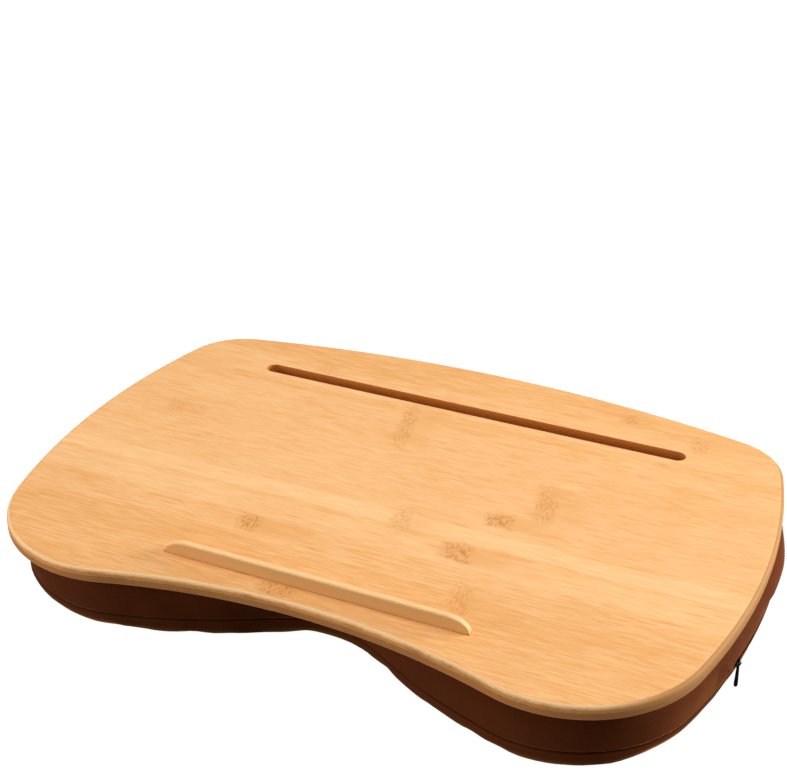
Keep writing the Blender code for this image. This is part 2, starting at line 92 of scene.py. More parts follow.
# %% [markdown]
# ## Numbers that flow between shader nodes
#
# A finish is a small program made of nodes. Writing `(a - b) * 2` reads better than three
# Math nodes, so one class wraps an output socket and its operators add the nodes.


# %% A wire with arithmetic
class Wire:
    """An output socket. Arithmetic on it adds Math nodes to its tree."""

    def __init__(self, tree, socket):
        self.tree = tree
        self.socket = socket

    def maths(self, operation, *others):
        values = enumerate((self, *others))
        return self.tree.node("ShaderNodeMath", {"operation": operation}, values)

    __add__ = __radd__ = partialmethod(maths, "ADD")
    __sub__ = partialmethod(maths, "SUBTRACT")
    __mul__ = __rmul__ = partialmethod(maths, "MULTIPLY")
    __truediv__ = partialmethod(maths, "DIVIDE")
    absolute = partialmethod(maths, "ABSOLUTE")
    root = partialmethod(maths, "SQRT")
    whole = partialmethod(maths, "FLOOR")
    largest = partialmethod(maths, "MAXIMUM")

    def __rsub__(self, other):
        values = ((0, other), (1, self))
        return self.tree.node("ShaderNodeMath", {"operation": "SUBTRACT"}, values)

    def wave(self, length=1.0):
        """A sine between 0 and 1 that repeats after a length."""
        return (self * (2 * math.pi / length)).maths("SINE") * 0.5 + 0.5

    def ease(self, low, high):
        """0 below low, 1 above high and a smooth rise between, or a fall if low is higher."""
        if low > high:
            return 1 - self.ease(high, low)
        settings = {"interpolation_type": "SMOOTHSTEP"}
        values = (("Value", self), ("From Min", low), ("From Max", high))
        return self.tree.node("ShaderNodeMapRange", settings, values)


# %% [markdown]
# One method adds any node to a tree. A finish is the tree of one material, with the
# Principled shader at its end and short methods for the nodes that finishes use most.


# %% A finish and its nodes
class Tree:
    """A node tree being made, with a method for any node."""

    def __init__(self, tree):
        self.tree = tree

    def node(self, kind, settings=(), values=(), output=0):
        made = self.tree.nodes.new(kind)
        for key, value in dict(settings).items():
            setattr(made, key, value)
        for key, value in values:
            self.feed(made.inputs[key], value)
        return Wire(self, made.outputs[output])

    def feed(self, socket, value):
        if isinstance(value, Wire):
            self.tree.links.new(value.socket, socket)
        else:
            socket.default_value = value


class Finish(Tree):
    """A material."""

    def __init__(self, name, **constants):
        self.material = bpy.data.materials.new(name)
        self.material.use_nodes = True
        super().__init__(self.material.node_tree)
        self.shader = self.tree.nodes["Principled BSDF"]
        for socket, value in constants.items():
            self.shader.inputs[socket.replace("_", " ")].default_value = value

    def set(self, **values):
        for socket, value in values.items():
            self.feed(self.shader.inputs[socket.replace("_", " ")], value)
        return self.material

    def place(self):
        """Where a point is on the object, in metres."""
        return self.node("ShaderNodeTexCoord", output=3)

    def cloth_place(self):
        """Where a point is on the cloth, in metres, from the piece's own UV map."""
        return self.node("ShaderNodeUVMap", {"uv_map": "cloth"})

    def stretched(self, where, scale, turn):
        values = (("Vector", where), ("Rotation", (0.0, 0.0, turn)), ("Scale", scale))
        return self.node("ShaderNodeMapping", {}, values)

    def parts(self, where):
        return [self.node("ShaderNodeSeparateXYZ", {}, [(0, where)], i) for i in range(3)]

    def joined(self, x, y, z):
        return self.node("ShaderNodeCombineXYZ", {}, ((0, x), (1, y), (2, z)))

    def noise(self, where, scale, detail=2.0, roughness=0.5):
        values = {"Vector": where, "Scale": scale, "Detail": detail, "Roughness": roughness}
        return self.node("ShaderNodeTexNoise", {}, values.items())

    def grained(self, where, scales, detail, roughness=0.5, turn=0.0):
        """Noise with its own scale along each axis."""
        return self.noise(self.stretched(where, scales, turn), 1.0, detail, roughness)

    def cells(self, where, scale):
        return self.node("ShaderNodeTexVoronoi", {}, (("Vector", where), ("Scale", scale)))

    def mixed(self, share, first, second):
        first, second = ((*c, 1.0) if isinstance(c, tuple) else c for c in (first, second))
        values = ((0, share), (6, first), (7, second))
        return self.node("ShaderNodeMix", {"data_type": "RGBA"}, values, 2)

    def ramp(self, tone, stops):
        made = self.node("ShaderNodeValToRGB", {}, [(0, tone)])
        elements = made.socket.node.color_ramp.elements
        while len(elements) < len(stops):
            elements.new(0.5)
        for element, (place, color) in zip(elements, stops):
            element.position = place
            element.color = (*color, 1.0)
        return made

    def done(self, color, roughness, height, strength, distance, **more):
        """Feeds the shader, with a bump from a height, and gives the material."""
        values = (("Strength", strength), ("Distance", distance), ("Height", height))
        normal = self.node("ShaderNodeBump", {}, values)
        return self.set(Base_Color=color, Roughness=roughness, Normal=normal, **more)


print("finishes are written as arithmetic")

# %% [markdown]
# ## Bamboo
#
# The board is pressed from flat strips of bamboo, glued side by side along its length.
# Fibres are noise stretched along X, and the strips are steps of tone in Y. A knuckle,
# where a stalk had a ring, is a small patch of short dashes across the fibres. The
# knuckles stand where the photograph shows them on the board.

# %% Knuckles of the bamboo: x, y, half length, half width and strength
KNUCKLES = (
    (-0.032, 0.080, 0.007, 0.036, 0.60),
    (-0.074, -0.088, 0.010, 0.010, 0.95),
    (0.018, -0.043, 0.009, 0.013, 0.45),
    (0.067, -0.063, 0.012, 0.012, 1.0),
    (0.080, -0.015, 0.011, 0.010, 0.90),
    (0.102, 0.016, 0.009, 0.024, 0.65),
    (0.090, -0.111, 0.008, 0.020, 0.55),
    (0.119, 0.156, 0.008, 0.010, 0.60),
    (-0.128, 0.136, 0.008, 0.010, 0.35),
    (-0.020, -0.150, 0.014, 0.007, 0.85),
    (0.178, 0.138, 0.008, 0.012, 0.40),
    (-0.205, 0.030, 0.008, 0.012, 0.30),
)
# Where a strip begins, going to the rear, and how much paler it is than the one before.
STRIPS = (
    (-0.105, 0.14),
    (-0.078, 0.20),
    (-0.056, -0.13),
    (-0.050, 0.30),
    (-0.034, -0.28),
    (0.025, -0.03),
    (0.095, -0.13),
    (0.106, 0.14),
    (0.141, -0.20),
)
BAMBOO_TONES = (
    (0.00, (0.790, 0.370, 0.118)),
    (0.25, (0.855, 0.432, 0.153)),
    (0.50, (0.900, 0.495, 0.210)),
    (0.75, (0.930, 0.530, 0.235)),
    (1.00, (0.975, 0.590, 0.280)),
)
SMEAR_GOLD = (0.800, 0.385, 0.122)
KNUCKLE_TAN = (0.720, 0.330, 0.100)
KNUCKLE_BROWN = (0.580, 0.210, 0.046)
CUT_GOLD = (0.950, 0.420, 0.120)
CUT_BROWN = (0.650, 0.235, 0.050)
RIGHT_END_PAINTED_SHADE = (0.360, 0.165, 0.038)
SLOT_PAINTED_SHADE = (0.680, 0.215, 0.028)
SANDED_CREAM_AND_HIGHLIGHT = (1.000, 0.640, 0.310)
LEDGE_CREAM = (0.900, 0.520, 0.190)
SLOT_Y = 0.1185


# %% Knuckle patches
def knuckle_masks(finish, where):
    """How much a point belongs to a knuckle, and to the shade that trails to its right."""
    x, y, _ = finish.parts(where)
    fray = finish.grained(where, (120.0, 260.0, 120.0), 2.0) - 0.5
    patches = shades = None
    for centre_x, centre_y, half_x, half_y, strength in KNUCKLES:
        off_x, off_y = x - centre_x, y - centre_y
        along = (off_x + off_y * 0.22) * (1 / half_x)
        across = off_y * (1 / half_y)
        along, across = along * along, across * across
        reach = (along * along + across * across).root().root() + fray * 1.3
        patch = reach.ease(1.15, 0.50) * strength
        trail = (off_x - half_x).ease(half_x * 4.5, 0.0) * off_x.ease(-half_x * 1.6, half_x * 0.4)
        shade = trail * (across.root() + fray * 0.8).ease(1.25, 0.45) * strength
        patches = patch if patches is None else patches.largest(patch)
        shades = shade if shades is None else shades.largest(shade)
    return patches, shades


# %% [markdown]
# The plies and the ledge have one finish with different seeds, so that no fibre runs on
# from one into the other. Where a face turns sideways the fibres are cut: the tone deepens
# and is scorched in places. The rounded corner is sanded pale, and the pale line is also a
# painted highlight along it. The faces that look right get a painted shade of tan, and the
# slot's walls a painted shade of brown.


# %% The bamboo finish
def bamboo_finish(name, shift, cut, cut_share, on_board=True):
    finish = Finish(name, Roughness=0.42, Specular_IOR_Level=0.30)
    place = finish.place()
    wander = finish.grained(place, (6.0, 16.0, 16.0), 1.0) - 0.5
    x, y, z = finish.parts(place)
    bent = finish.joined(x + shift, y + wander * 0.005 + shift, z)
    fibre = finish.grained(bent, (64.0, 1050.0, 1050.0), 3.0, 0.6)
    streak = finish.grained(bent, (24.0, 330.0, 330.0), 2.0, 0.55)
    cloud = finish.grained(bent, (8.0, 30.0, 30.0), 2.0)
    dash = finish.grained(bent, (30.0, 560.0, 560.0), 1.5).ease(0.60, 0.74)
    tone = (fibre - 0.5) * 1.8 + (streak - 0.5) * 0.45 + (cloud - 0.5) * 0.45 - dash * 0.3
    if on_board:
        tone = tone + 0.26
        for edge, paler in STRIPS:
            tone = tone + (y + wander * 0.003).ease(edge - 0.0003, edge + 0.0003) * paler
    else:
        tone = tone + 0.90
    wood = finish.ramp(tone, BAMBOO_TONES)
    height = fibre * 0.6 - dash * 0.3
    if on_board:
        patch, shade = knuckle_masks(finish, place)
        wood = finish.mixed(shade * (0.40 + streak * 0.5), wood, SMEAR_GOLD)
        grain = finish.grained(place, (640.0, 200.0, 300.0), 2.0, 0.6, 0.25)
        ticks = grain.ease(0.47, 0.58) * fibre.ease(0.34, 0.50) * patch
        wood = finish.mixed(patch * (0.10 + streak * 0.35), wood, KNUCKLE_TAN)
        wood = finish.mixed(ticks * 0.85, wood, KNUCKLE_BROWN)
        height = height - ticks * 0.6
    right, _, upright = finish.parts(finish.node("ShaderNodeNewGeometry", output=1))
    upright = upright.absolute()
    sideways = (1 - upright * upright).largest(0.0001).root()
    # Faces that look to the right: the tan put on them below is a painted shade.
    end = (right / sideways).ease(0.40, 0.95) * upright.ease(0.9998, 0.95)
    edge = upright.ease(0.86, 0.40)
    wood = finish.mixed(edge * cut_share, wood, cut)
    if on_board:
        pore = finish.grained(place, (260.0, 260.0, 700.0), 2.0, 0.6)
        blotch = finish.grained(place, (38.0, 38.0, 160.0), 3.0, 0.65)
        burn = blotch.ease(0.46, 0.64) * 0.50 + pore.ease(0.50, 0.66) * 0.30
        # Pale rounded corner: sanded, and partly a painted highlight along it.
        worn_and_highlight = upright.ease(0.10, 0.50) * upright.ease(0.995, 0.90)
        wood = finish.mixed(worn_and_highlight * 0.80 * (1 - end), wood, SANDED_CREAM_AND_HIGHLIGHT)
        # Painted shade of tan on the right-facing end.
        wood = finish.mixed(end * 0.85, wood, RIGHT_END_PAINTED_SHADE)
        wood = finish.mixed(edge * burn * (1 - end * 0.5), wood, KNUCKLE_BROWN)
        # Painted shade on the slot's walls.
        slot_shade_mask = (y - SLOT_Y).absolute().ease(0.0085, 0.0072) * x.absolute().ease(0.180, 0.176)
        wood = finish.mixed(slot_shade_mask * upright.ease(0.9, 0.5) * 0.95, wood, SLOT_PAINTED_SHADE)
    return finish.done(wood, 0.40 + fibre * 0.12 + end * 0.25, height, 0.16, 0.0002)


board_top_finish = bamboo_finish("bamboo_top", 0.0, CUT_GOLD, 0.95)
board_back_finish = bamboo_finish("bamboo_back", 0.37, CUT_BROWN, 0.90)
ledge_finish = bamboo_finish("bamboo_ledge", 0.74, LEDGE_CREAM, 0.80, False)
print("bamboo:", len(board_top_finish.node_tree.nodes), "nodes on the top ply")

# %% [markdown]
# ## Knit, twill and foam
#
# The cover is a fine brown stretch knit: columns of small V shapes. A column's height is a
# wave along the cloth, shifted by the distance from the column's middle, and it drives the
# bump and a faint painted shade in the knit's low parts. Each piece's own UV map is in
# metres along the cloth, so the knit keeps its size round every bend.

# %% The cover's knit
KNIT_BROWN = (0.133, 0.029, 0.0060)
KNIT_SHADE = (0.086, 0.018, 0.0036)
KNIT_LIGHT = (0.182, 0.042, 0.0092)
# A painted shade for the groove of the seam.
SEAM_PAINTED_SHADE = (0.030, 0.006, 0.0015)
WALE = 0.0011
COURSE = 0.0009
SEAM_Z = 0.0295


def knit_finish():
    finish = Finish(
        "brown_knit",
        Roughness=0.88,
        Specular_IOR_Level=0.08,
        Sheen_Weight=0.80,
        Sheen_Roughness=0.28,
        Sheen_Tint=(1.00, 0.40, 0.09, 1.0),
    )
    u, v, _ = finish.parts(finish.cloth_place())
    column = (u / WALE - (u / WALE).whole() - 0.5).absolute()
    loop = (v / COURSE + column * 1.2).wave()
    rib = 1 - column * 2
    height = rib * 0.6 + loop * 0.4
    place = finish.place()
    cloud = finish.noise(place, 14.0, 3.0, 0.55)
    fleck = finish.noise(place, 900.0, 2.0, 0.6)
    tone = (cloud - 0.5) * 0.6 + (fleck - 0.5) * 0.35 + 0.5
    stops = ((0.2, KNIT_SHADE), (0.5, KNIT_BROWN), (0.85, KNIT_LIGHT))
    color = finish.ramp(tone, stops)
    # Painted shade: the knit is darker where its loops lie low.
    color = finish.mixed((1 - height) * 0.28, color, KNIT_SHADE)
    x, y, z = finish.parts(place)
    outer = (x * x + y * y).root().ease(0.070, 0.090)
    # Painted shade: the colour darkens along the seam's height on the outer part of the cover,
    # where its groove lies.
    painted_seam_shade = (z - SEAM_Z).absolute().ease(0.0015, 0.0003) * outer * 0.65
    color = finish.mixed(painted_seam_shade, color, SEAM_PAINTED_SHADE)
    return finish.done(color, 0.82 + height * 0.12, height + fleck * 0.3, 0.30, 0.00022)


knit = knit_finish()


# %% [markdown]
# The side of the cover that faces the board is a plain woven twill: diagonal ribs, one
# thread over two. The loop halves of the fasteners are sewn on it.


# %% Twill and the loop strips
def twill_finish(name, dark, light, rib, fuzz):
    finish = Finish(name, Roughness=0.9, Specular_IOR_Level=0.2, Sheen_Weight=0.15)
    place = finish.place()
    x, y, _ = finish.parts(place)
    diagonal = (x + y).wave(rib)
    thread = (x - y).wave(rib / 2)
    nap = finish.noise(place, 1400.0, 2.0, 0.7)
    height = (diagonal * 0.65 + thread * 0.35) * (1 - fuzz) + nap * fuzz
    cloud = finish.noise(place, 18.0, 2.0)
    # Painted shade: the threads are darker where they lie low in the weave.
    color = finish.mixed(height * 0.7 + cloud * 0.3, dark, light)
    return finish.done(color, 0.84 + height * 0.1, height, 0.4, 0.0002)


twill = twill_finish("brown_twill", (0.085, 0.024, 0.008), (0.170, 0.052, 0.017), 0.0013, 0.2)
loops = twill_finish("loop_nap", (0.075, 0.022, 0.008), (0.190, 0.070, 0.028), 0.0016, 0.85)
hooks = twill_finish("hook_tape", (0.012, 0.012, 0.013), (0.050, 0.048, 0.050), 0.0015, 0.45)


# %% [markdown]
# The foam inside has round open cells of about a millimetre, which Voronoi cells give, and
# painted shade darkens the cells' pits.


# %% Foam
def foam_finish():
    finish = Finish("cream_foam", Roughness=0.95, Specular_IOR_Level=0.1)
    place = finish.place()
    cell = finish.cells(place, 850.0)
    age = finish.noise(place, 11.0, 3.0)
    color = finish.mixed(age, (0.86, 0.80, 0.60), (0.78, 0.68, 0.44))
    # Painted shade in the pits of the cells.
    color = finish.mixed(cell.ease(0.75, 0.2) * 0.45, color, (0.45, 0.38, 0.24))
    return finish.done(color, 0.90 + cell * 0.08, cell, 0.6, 0.0005)


foam_look = foam_finish()


# %% [markdown]
# ## Nylon and enamel
#
# The zip's tape is a narrow woven ribbon and its coil is nylon thread, both dyed dark
# brown. The slider, the pull and the stops are black enamel on cast metal, rubbed
# brighter where fingers and the teeth wear them.


# %% Zip finishes
WEFT = 0.0006
WARP = 0.0005


def tape_finish():
    finish = Finish("zip_tape", Roughness=0.8, Specular_IOR_Level=0.1)
    u, v, _ = finish.parts(finish.cloth_place())
    weft = u.wave(WEFT)
    warp = (v / WARP + (u / WEFT).whole() * 0.5).wave()
    height = weft * 0.5 + warp * 0.5
    # Painted shade: the weave is darker where its threads lie low.
    color = finish.mixed(height, (0.045, 0.012, 0.004), (0.100, 0.026, 0.008))
    return finish.done(color, 0.72 + height * 0.15, height, 0.35, 0.0002)


def coil_finish(name, dark, light, roughness):
    finish = Finish(name, Specular_IOR_Level=0.15)
    place = finish.place()
    grain = finish.noise(place, 1800.0, 2.0, 0.6)
    dust = finish.noise(place, 160.0, 3.0)
    color = finish.mixed(grain * 0.6 + dust * 0.4, dark, light)
    return finish.done(color, roughness + grain * 0.15, grain, 0.12, 0.0001)


def enamel_finish():
    finish = Finish("black_enamel", Specular_IOR_Level=0.22)
    place = finish.place()
    orange_peel = finish.noise(place, 1500.0, 2.0)
    rub = finish.noise(place, 420.0, 3.0, 0.65).ease(0.60, 0.70)
    color = finish.mixed(rub * 0.25, (0.004, 0.003, 0.0032), (0.10, 0.08, 0.08))
    metallic = 0.15 + rub * 0.5
    return finish.done(color, 0.34 + rub * 0.2, orange_peel, 0.08, 0.0001, Metallic=metallic)


tape_look = tape_finish()
coil_look = coil_finish("zip_coil", (0.040, 0.012, 0.005), (0.095, 0.030, 0.012), 0.45)
thread_look = coil_finish("sewing_thread", (0.090, 0.028, 0.010), (0.220, 0.080, 0.030), 0.7)
enamel = enamel_finish()
print("finishes made:", len(bpy.data.materials))

# %% [markdown]
# ## The plan shape
#
# Board and cushion share one rule, as the solids do: bowed sides, round corners, and a
# front and a rear edge that are arcs and meet the corners without a kink. Here it has many
# more points than in the solids, so that the edges are smooth to the eye.

# %% Sizes that the solids use
GAP = 0.0003
BOARD_TOP_Z = 0.070
PLY = 0.005
BOARD_BOTTOM_Z = BOARD_TOP_Z - 2 * PLY
BASE_TOP_Z = 0.0574
CLOTH = 0.001
BAND_TOP_Z = BASE_TOP_Z - CLOTH - GAP
ZIP_Z = 0.040
SIDE_RADIUS = 0.432
SIDE_MIDDLE_Y = -0.003
# Points along half an edge, a corner and half a side, of a closed plan and an open path.
LOOP_COUNTS = (28, 24, 22)
PATH_COUNTS = (28, 24, 30)


class Plan:
    """A plan shape, alike left and right."""

    def __init__(self, half_width, side_radius, front, rear):
        self.side_radius = side_radius
        self.side_x = half_width - side_radius
        self.half_width = half_width
        self.edges = {-1: front, 1: rear}

    def inset(self, distance):
        front, rear = ([size - distance for size in self.edges[end]] for end in (-1, 1))
        return Plan(self.half_width - distance, self.side_radius - distance, front, rear)

    def corner(self, end):
        reach, _, radius = self.edges[end]
        y = reach - radius
        rise = y - end * SIDE_MIDDLE_Y
        return self.side_x + math.sqrt((self.side_radius - radius) ** 2 - rise**2), y, radius

    def edge(self, end):
        x, y, corner = self.corner(end)
        out = self.edges[end][1] - y
        radius = (x * x + out * out - corner * corner) / (2 * (out - corner))
        centre = y + out - radius
        return radius, centre, math.atan2(x / (radius - corner), (y - centre) / (radius - corner))

    def side_stop(self, end):
        x, y, _ = self.corner(end)
        return math.atan2(x - self.side_x, y - end * SIDE_MIDDLE_Y)

    def side_point(self, angle):
        radius = self.side_radius
        return self.side_x + radius * math.cos(angle), SIDE_MIDDLE_Y + radius * math.sin(angle)

    def half_path(self, end, angle, counts):
        """The right half from the middle of an edge to an angle of the side."""
        radius, centre, half_angle = self.edge(end)
        x, y, corner = self.corner(end)
        points = []
        for i in range(counts[0]):
            turn = half_angle * i / counts[0]
            points.append((radius * math.sin(turn), end * (centre + radius * math.cos(turn))))
        stop = self.side_stop(end)
        for i in range(counts[1] + 1):
            turn = half_angle + (stop - half_angle) * i / counts[1]
            points.append((x + corner * math.sin(turn), end * (y + corner * math.cos(turn))))
        start = end * (math.pi / 2 - stop)
        for i in range(1, counts[2] + 1):
            points.append(self.side_point(start + (angle - start) * i / counts[2]))
        return points

    def loop(self, counts=LOOP_COUNTS):
        """The whole outline, anticlockwise seen from above."""
        front = self.half_path(-1, 0.0, counts)
        rear = self.half_path(1, 0.0, counts)[:-1]
        right = front + rear[::-1]
        return right + [(-x, y) for x, y in right[-2:0:-1]]

    def path_round(self, end, right_angle, left_angle):
        """The open path round one end, from the right side's angle to the left side's."""
        right = self.half_path(end, right_angle, PATH_COUNTS)
        left = [(-x, y) for x, y in self.half_path(end, left_angle, PATH_COUNTS)]
        return right[::-1] + left[1:]


BOARD = Plan(0.260, 0.485, (0.183, 0.159, 0.088), (0.161, 0.183, 0.050))
CUSHION = Plan(0.2559, SIDE_RADIUS, (0.1782, 0.1566, 0.091), (0.168, 0.163, 0.084))
ZIP_LINE = CUSHION.inset(CLOTH / 2)
print("points round the board:", len(BOARD.loop()))


# %% [markdown]
# Rings of points, stacked and joined by quads, make every rolled form here. `ring_rows`
# joins them and `capped` also closes the first and the last. `piece` turns a mesh into an
# object with its finish and its body.


# %% Joining rings into a mesh
def join_rows(bm, first, second):
    for i in range(len(first)):
        j = (i + 1) % len(first)
        bm.faces.new((first[i], first[j], second[j], second[i]))


def ring_rows(bm, rings):
    rows = [[bm.verts.new(point) for point in ring] for ring in rings]
    for first, second in zip(rows, rows[1:]):
        join_rows(bm, first, second)
    return rows


def capped(bm, rings):
    """Rings joined, with a face over the first and the last."""
    rows = ring_rows(bm, rings)
    bm.faces.new(rows[0])
    bm.faces.new(rows[-1])
    return rows


def fan(bm, row, place):
    """Closes a row with triangles to one point."""
    tip = bm.verts.new(place)
    for i, vert in enumerate(row):
        bm.faces.new((vert, row[(i + 1) % len(row)], tip))
    return tip


def runs(rows):
    """How far along the rows each point lies, measured on the first of each."""
    run, found = 0.0, {}
    for number, row in enumerate(rows):
        if number:
            run += (row[0].co - rows[number - 1][0].co).length
        for vert in row:
            found[vert] = run
    return found


def map_cloth(bm, where):
    """Gives each point its place on the cloth, in metres."""
    layer = bm.loops.layers.uv.new("cloth")
    for face in bm.faces:
        for loop in face.loops:
            loop[layer].uv = where(loop.vert)


def long_strip(outlines, name):
    """A closed strip that follows outlines side by side, its cloth mapped along it."""
    bm = bmesh.new()
    run = runs(capped(bm, list(zip(*outlines))))
    map_cloth(bm, lambda vert: (run[vert], vert.co.z))
    return mesh_from(bm, name)


def capped_mesh(name, rings):
    bm = bmesh.new()
    capped(bm, rings)
    return mesh_from(bm, name)


def mesh_from(bm, name):
    bmesh.ops.recalc_face_normals(bm, faces=bm.faces)
    mesh = bpy.data.meshes.new(name)
    bm.to_mesh(mesh)
    bm.free()
    return mesh


def piece(name, mesh, look, stands_for=(), body="desk", crease=50):
    """An object of the desk that rides on a body and stands for CAD nodes."""
    mesh.materials.clear()
    mesh.materials.append(look)
    mesh.shade_smooth()
    mesh.set_sharp_from_angle(angle=math.radians(crease))
    made = linked(name, mesh)
    if stands_for:
        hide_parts(*stands_for)
    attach(made, body)
    return made


def cushion_piece(name, mesh, look, stands_for=(), crease=50):
    """A piece of the cushion, made straight and set askew under the board."""
    mesh.transform(CUSHION_PLACE)
    return piece(name, mesh, look, stands_for, "desk", crease)


def finished_mesh(made):
    """The mesh of an object with its modifiers applied."""
    bpy.context.view_layer.update()
    graph = bpy.context.evaluated_depsgraph_get()
    mesh = bpy.data.meshes.new_from_object(made.evaluated_get(graph), depsgraph=graph)
    mesh.name = made.name
    return mesh


def level(path, z):
    return [(x, y, z) for x, y in path]


def soften(made, name, width, segments, angle):
    """Rounds the edges of an object that are sharper than an angle in degrees."""
    bevel = made.modifiers.new(name, "BEVEL")
    bevel.width = width
    bevel.segments = segments
    bevel.limit_method = "ANGLE"
    bevel.angle_limit = math.radians(angle)


# %% [markdown]
# ## The board
#
# Two plies, 5 mm each, glued face to face. The upper one has a rounded top edge, the
# tablet slot and a shallow groove for the ledge. Its flat face has holes in it, so the
# rings of the edge, the slot and the groove are filled between with triangles. A narrow
# flat ring inside the rounding keeps its shading off the flat face.

# %% Rounded edges and the slot's plan
TOP_ARRIS = 0.003
BOTTOM_ARRIS = 0.0015
SLOT_SIZE = (0.3455, 0.0125)
SLOT_ARRIS = 0.0006
LEDGE_LENGTH = 0.218
LEDGE_WIDTH = 0.005
LEDGE_FRONT_Y = -0.1422
LEDGE_SOFT = 0.0013
GROOVE_DEPTH = 0.002


def arc(x, y, radius, start, stop, count):
    """Points of a circle from one quarter turn to another, both included."""
    turns = [math.pi / 2 * (start + (stop - start) * i / count) for i in range(count + 1)]
    return [(x + radius * math.cos(turn), y + radius * math.sin(turn)) for turn in turns]


def slot_plan(grow=0.0):
    """A slot with half-round ends, anticlockwise."""
    radius = SLOT_SIZE[1] / 2
    reach = SLOT_SIZE[0] / 2 - radius
    right = arc(reach, SLOT_Y, radius + grow, -1, 1, 16)
    return right + arc(-reach, SLOT_Y, radius + grow, 1, 3, 16)


def rounded_edge(plan, face_z, radius, inwards):
    """Rings from the upright edge to the flat face, and one more just inside it."""
    rings = []
    for i in range(7):
        turn = math.pi / 2 * i / 6
        ring = plan.inset(radius * (1 - math.cos(turn))).loop()
        rings.append(level(ring, face_z + inwards * radius * (1 - math.sin(turn))))
    rings.append(level(plan.inset(radius + 0.0006).loop(), face_z))
    return rings


def slot_rings(face_z, inwards, end_z):
    """Rings of the slot's wall from a softened rim down to the other face."""
    rings = [level(slot_plan(SLOT_ARRIS + 0.0004), face_z)]
    for i in range(4):
        turn = math.pi / 2 * i / 3
        rim = slot_plan(SLOT_ARRIS * (1 - math.sin(turn)))
        rings.append(level(rim, face_z + inwards * SLOT_ARRIS * (1 - math.cos(turn))))
    rings.append(level(slot_plan(), end_z))
    return rings


def fill_between(bm, *rows):
    """Fills a flat face bounded by the first row, with holes at the others."""
    edges = []
    for row in rows:
        for i, vert in enumerate(row):
            other = row[(i + 1) % len(row)]
            edges.append(bm.edges.get((vert, other)) or bm.edges.new((vert, other)))
    bmesh.ops.triangle_fill(bm, use_beauty=True, use_dissolve=False, edges=edges)


# %% The upper ply
def groove_loop():
    """The groove's outline, its corners as soft as the ledge's."""
    half_x = LEDGE_LENGTH / 2 + GAP - LEDGE_SOFT
    half_y = LEDGE_WIDTH / 2 + GAP - LEDGE_SOFT
    middle = LEDGE_FRONT_Y + LEDGE_WIDTH / 2
    points = []
    for quarter, (way_x, way_y) in enumerate(((1, -1), (1, 1), (-1, 1), (-1, -1))):
        corner_y = middle + way_y * half_y
        points += arc(way_x * half_x, corner_y, LEDGE_SOFT, quarter - 1, quarter, 4)
        if quarter in (1, 3):
            y = points[-1][1]
            points += [(way_x * half_x * (1 - i / 20), y) for i in range(1, 40)]
    return points


def ply_mesh(name, seam_z, face_z, arris, inwards, groove_rings=()):
    """A ply from its glued side to its open face, with the slot and perhaps the groove."""
    bm = bmesh.new()
    edge = rounded_edge(BOARD, face_z, arris, inwards)
    outside = ring_rows(bm, [level(BOARD.loop(), seam_z), *edge])
    slot = ring_rows(bm, slot_rings(face_z, inwards, seam_z))
    groove = ring_rows(bm, groove_rings)
    fill_between(bm, outside[-1], slot[0], *groove[:1])
    fill_between(bm, outside[0], slot[-1])
    for row in groove[1:]:
        bm.faces.new(row)
    return mesh_from(bm, name)


GLUE_Z = BOARD_TOP_Z - PLY
groove = [level(groove_loop(), z) for z in (BOARD_TOP_Z, BOARD_TOP_Z - GROOVE_DEPTH)]
top_form = ply_mesh("board_top", GLUE_Z + GAP / 2, BOARD_TOP_Z, TOP_ARRIS, -1, groove)
board_top = piece("board_top", top_form, board_top_finish, ["upper_ply"])
print("upper ply:", len(board_top.data.polygons), "faces")

# %% The lower ply
back_form = ply_mesh("board_back", GLUE_Z - GAP / 2, BOARD_BOTTOM_Z, BOTTOM_ARRIS, 1)
board_back = piece("board_back", back_form, board_back_finish, ["lower_ply"])
print("lower ply:", len(board_back.data.polygons), "faces")

# %% [markdown]
# ## The stop ledge
#
# A straight bamboo strip, glued into the groove, that stops a pen or a laptop from
# sliding down. Its ends rise from the board in long quarter ellipses and all its edges
# are sanded soft, which a Bevel modifier does on a plain extruded profile.

# %% The ledge
LEDGE_HEIGHT = 0.010
LEDGE_END_REACH = 0.017


def ledge_mesh():
    half = LEDGE_LENGTH / 2
    face = [(half, BOARD_TOP_Z - GROOVE_DEPTH + GAP), (half, BOARD_TOP_Z)]
    for i in range(1, 19):
        turn = math.pi / 2 * i / 18
        x = half - LEDGE_END_REACH * (1 - math.cos(turn))
        face.append((x, BOARD_TOP_Z + LEDGE_HEIGHT * math.sin(turn)))
    face += [(-x, z) for x, z in reversed(face)]
    sides = (LEDGE_FRONT_Y, LEDGE_FRONT_Y + LEDGE_WIDTH)
    return capped_mesh("ledge", [[(x, y, z) for x, z in face] for y in sides])


ledge = piece("ledge", ledge_mesh(), ledge_finish, ["stop_ledge"], crease=35)
soften(ledge, "sanded_edges", LEDGE_SOFT, 3, 50)
ledge.data.shade_smooth()
print("ledge stands", LEDGE_HEIGHT * 1000, "mm over the board")

# %% [markdown]
# ## The cushion's form
#
# Foam in a tight cover. Seen from the side it has an upright band, a seam, and a lap side
# that rolls from the seam to a crown, which carries the desk. In the middle of the lap
# side is an oval hollow with a steep front wall, and the front edge has a soft notch. The
# cushion lies a little askew under the board, so its pieces are made straight and then
# set by one matrix.
#
# In `lap_ring`, `depth` moves a ring inwards through the cloth, so that the same rule
# gives the cover's outside, its inside and the foam.

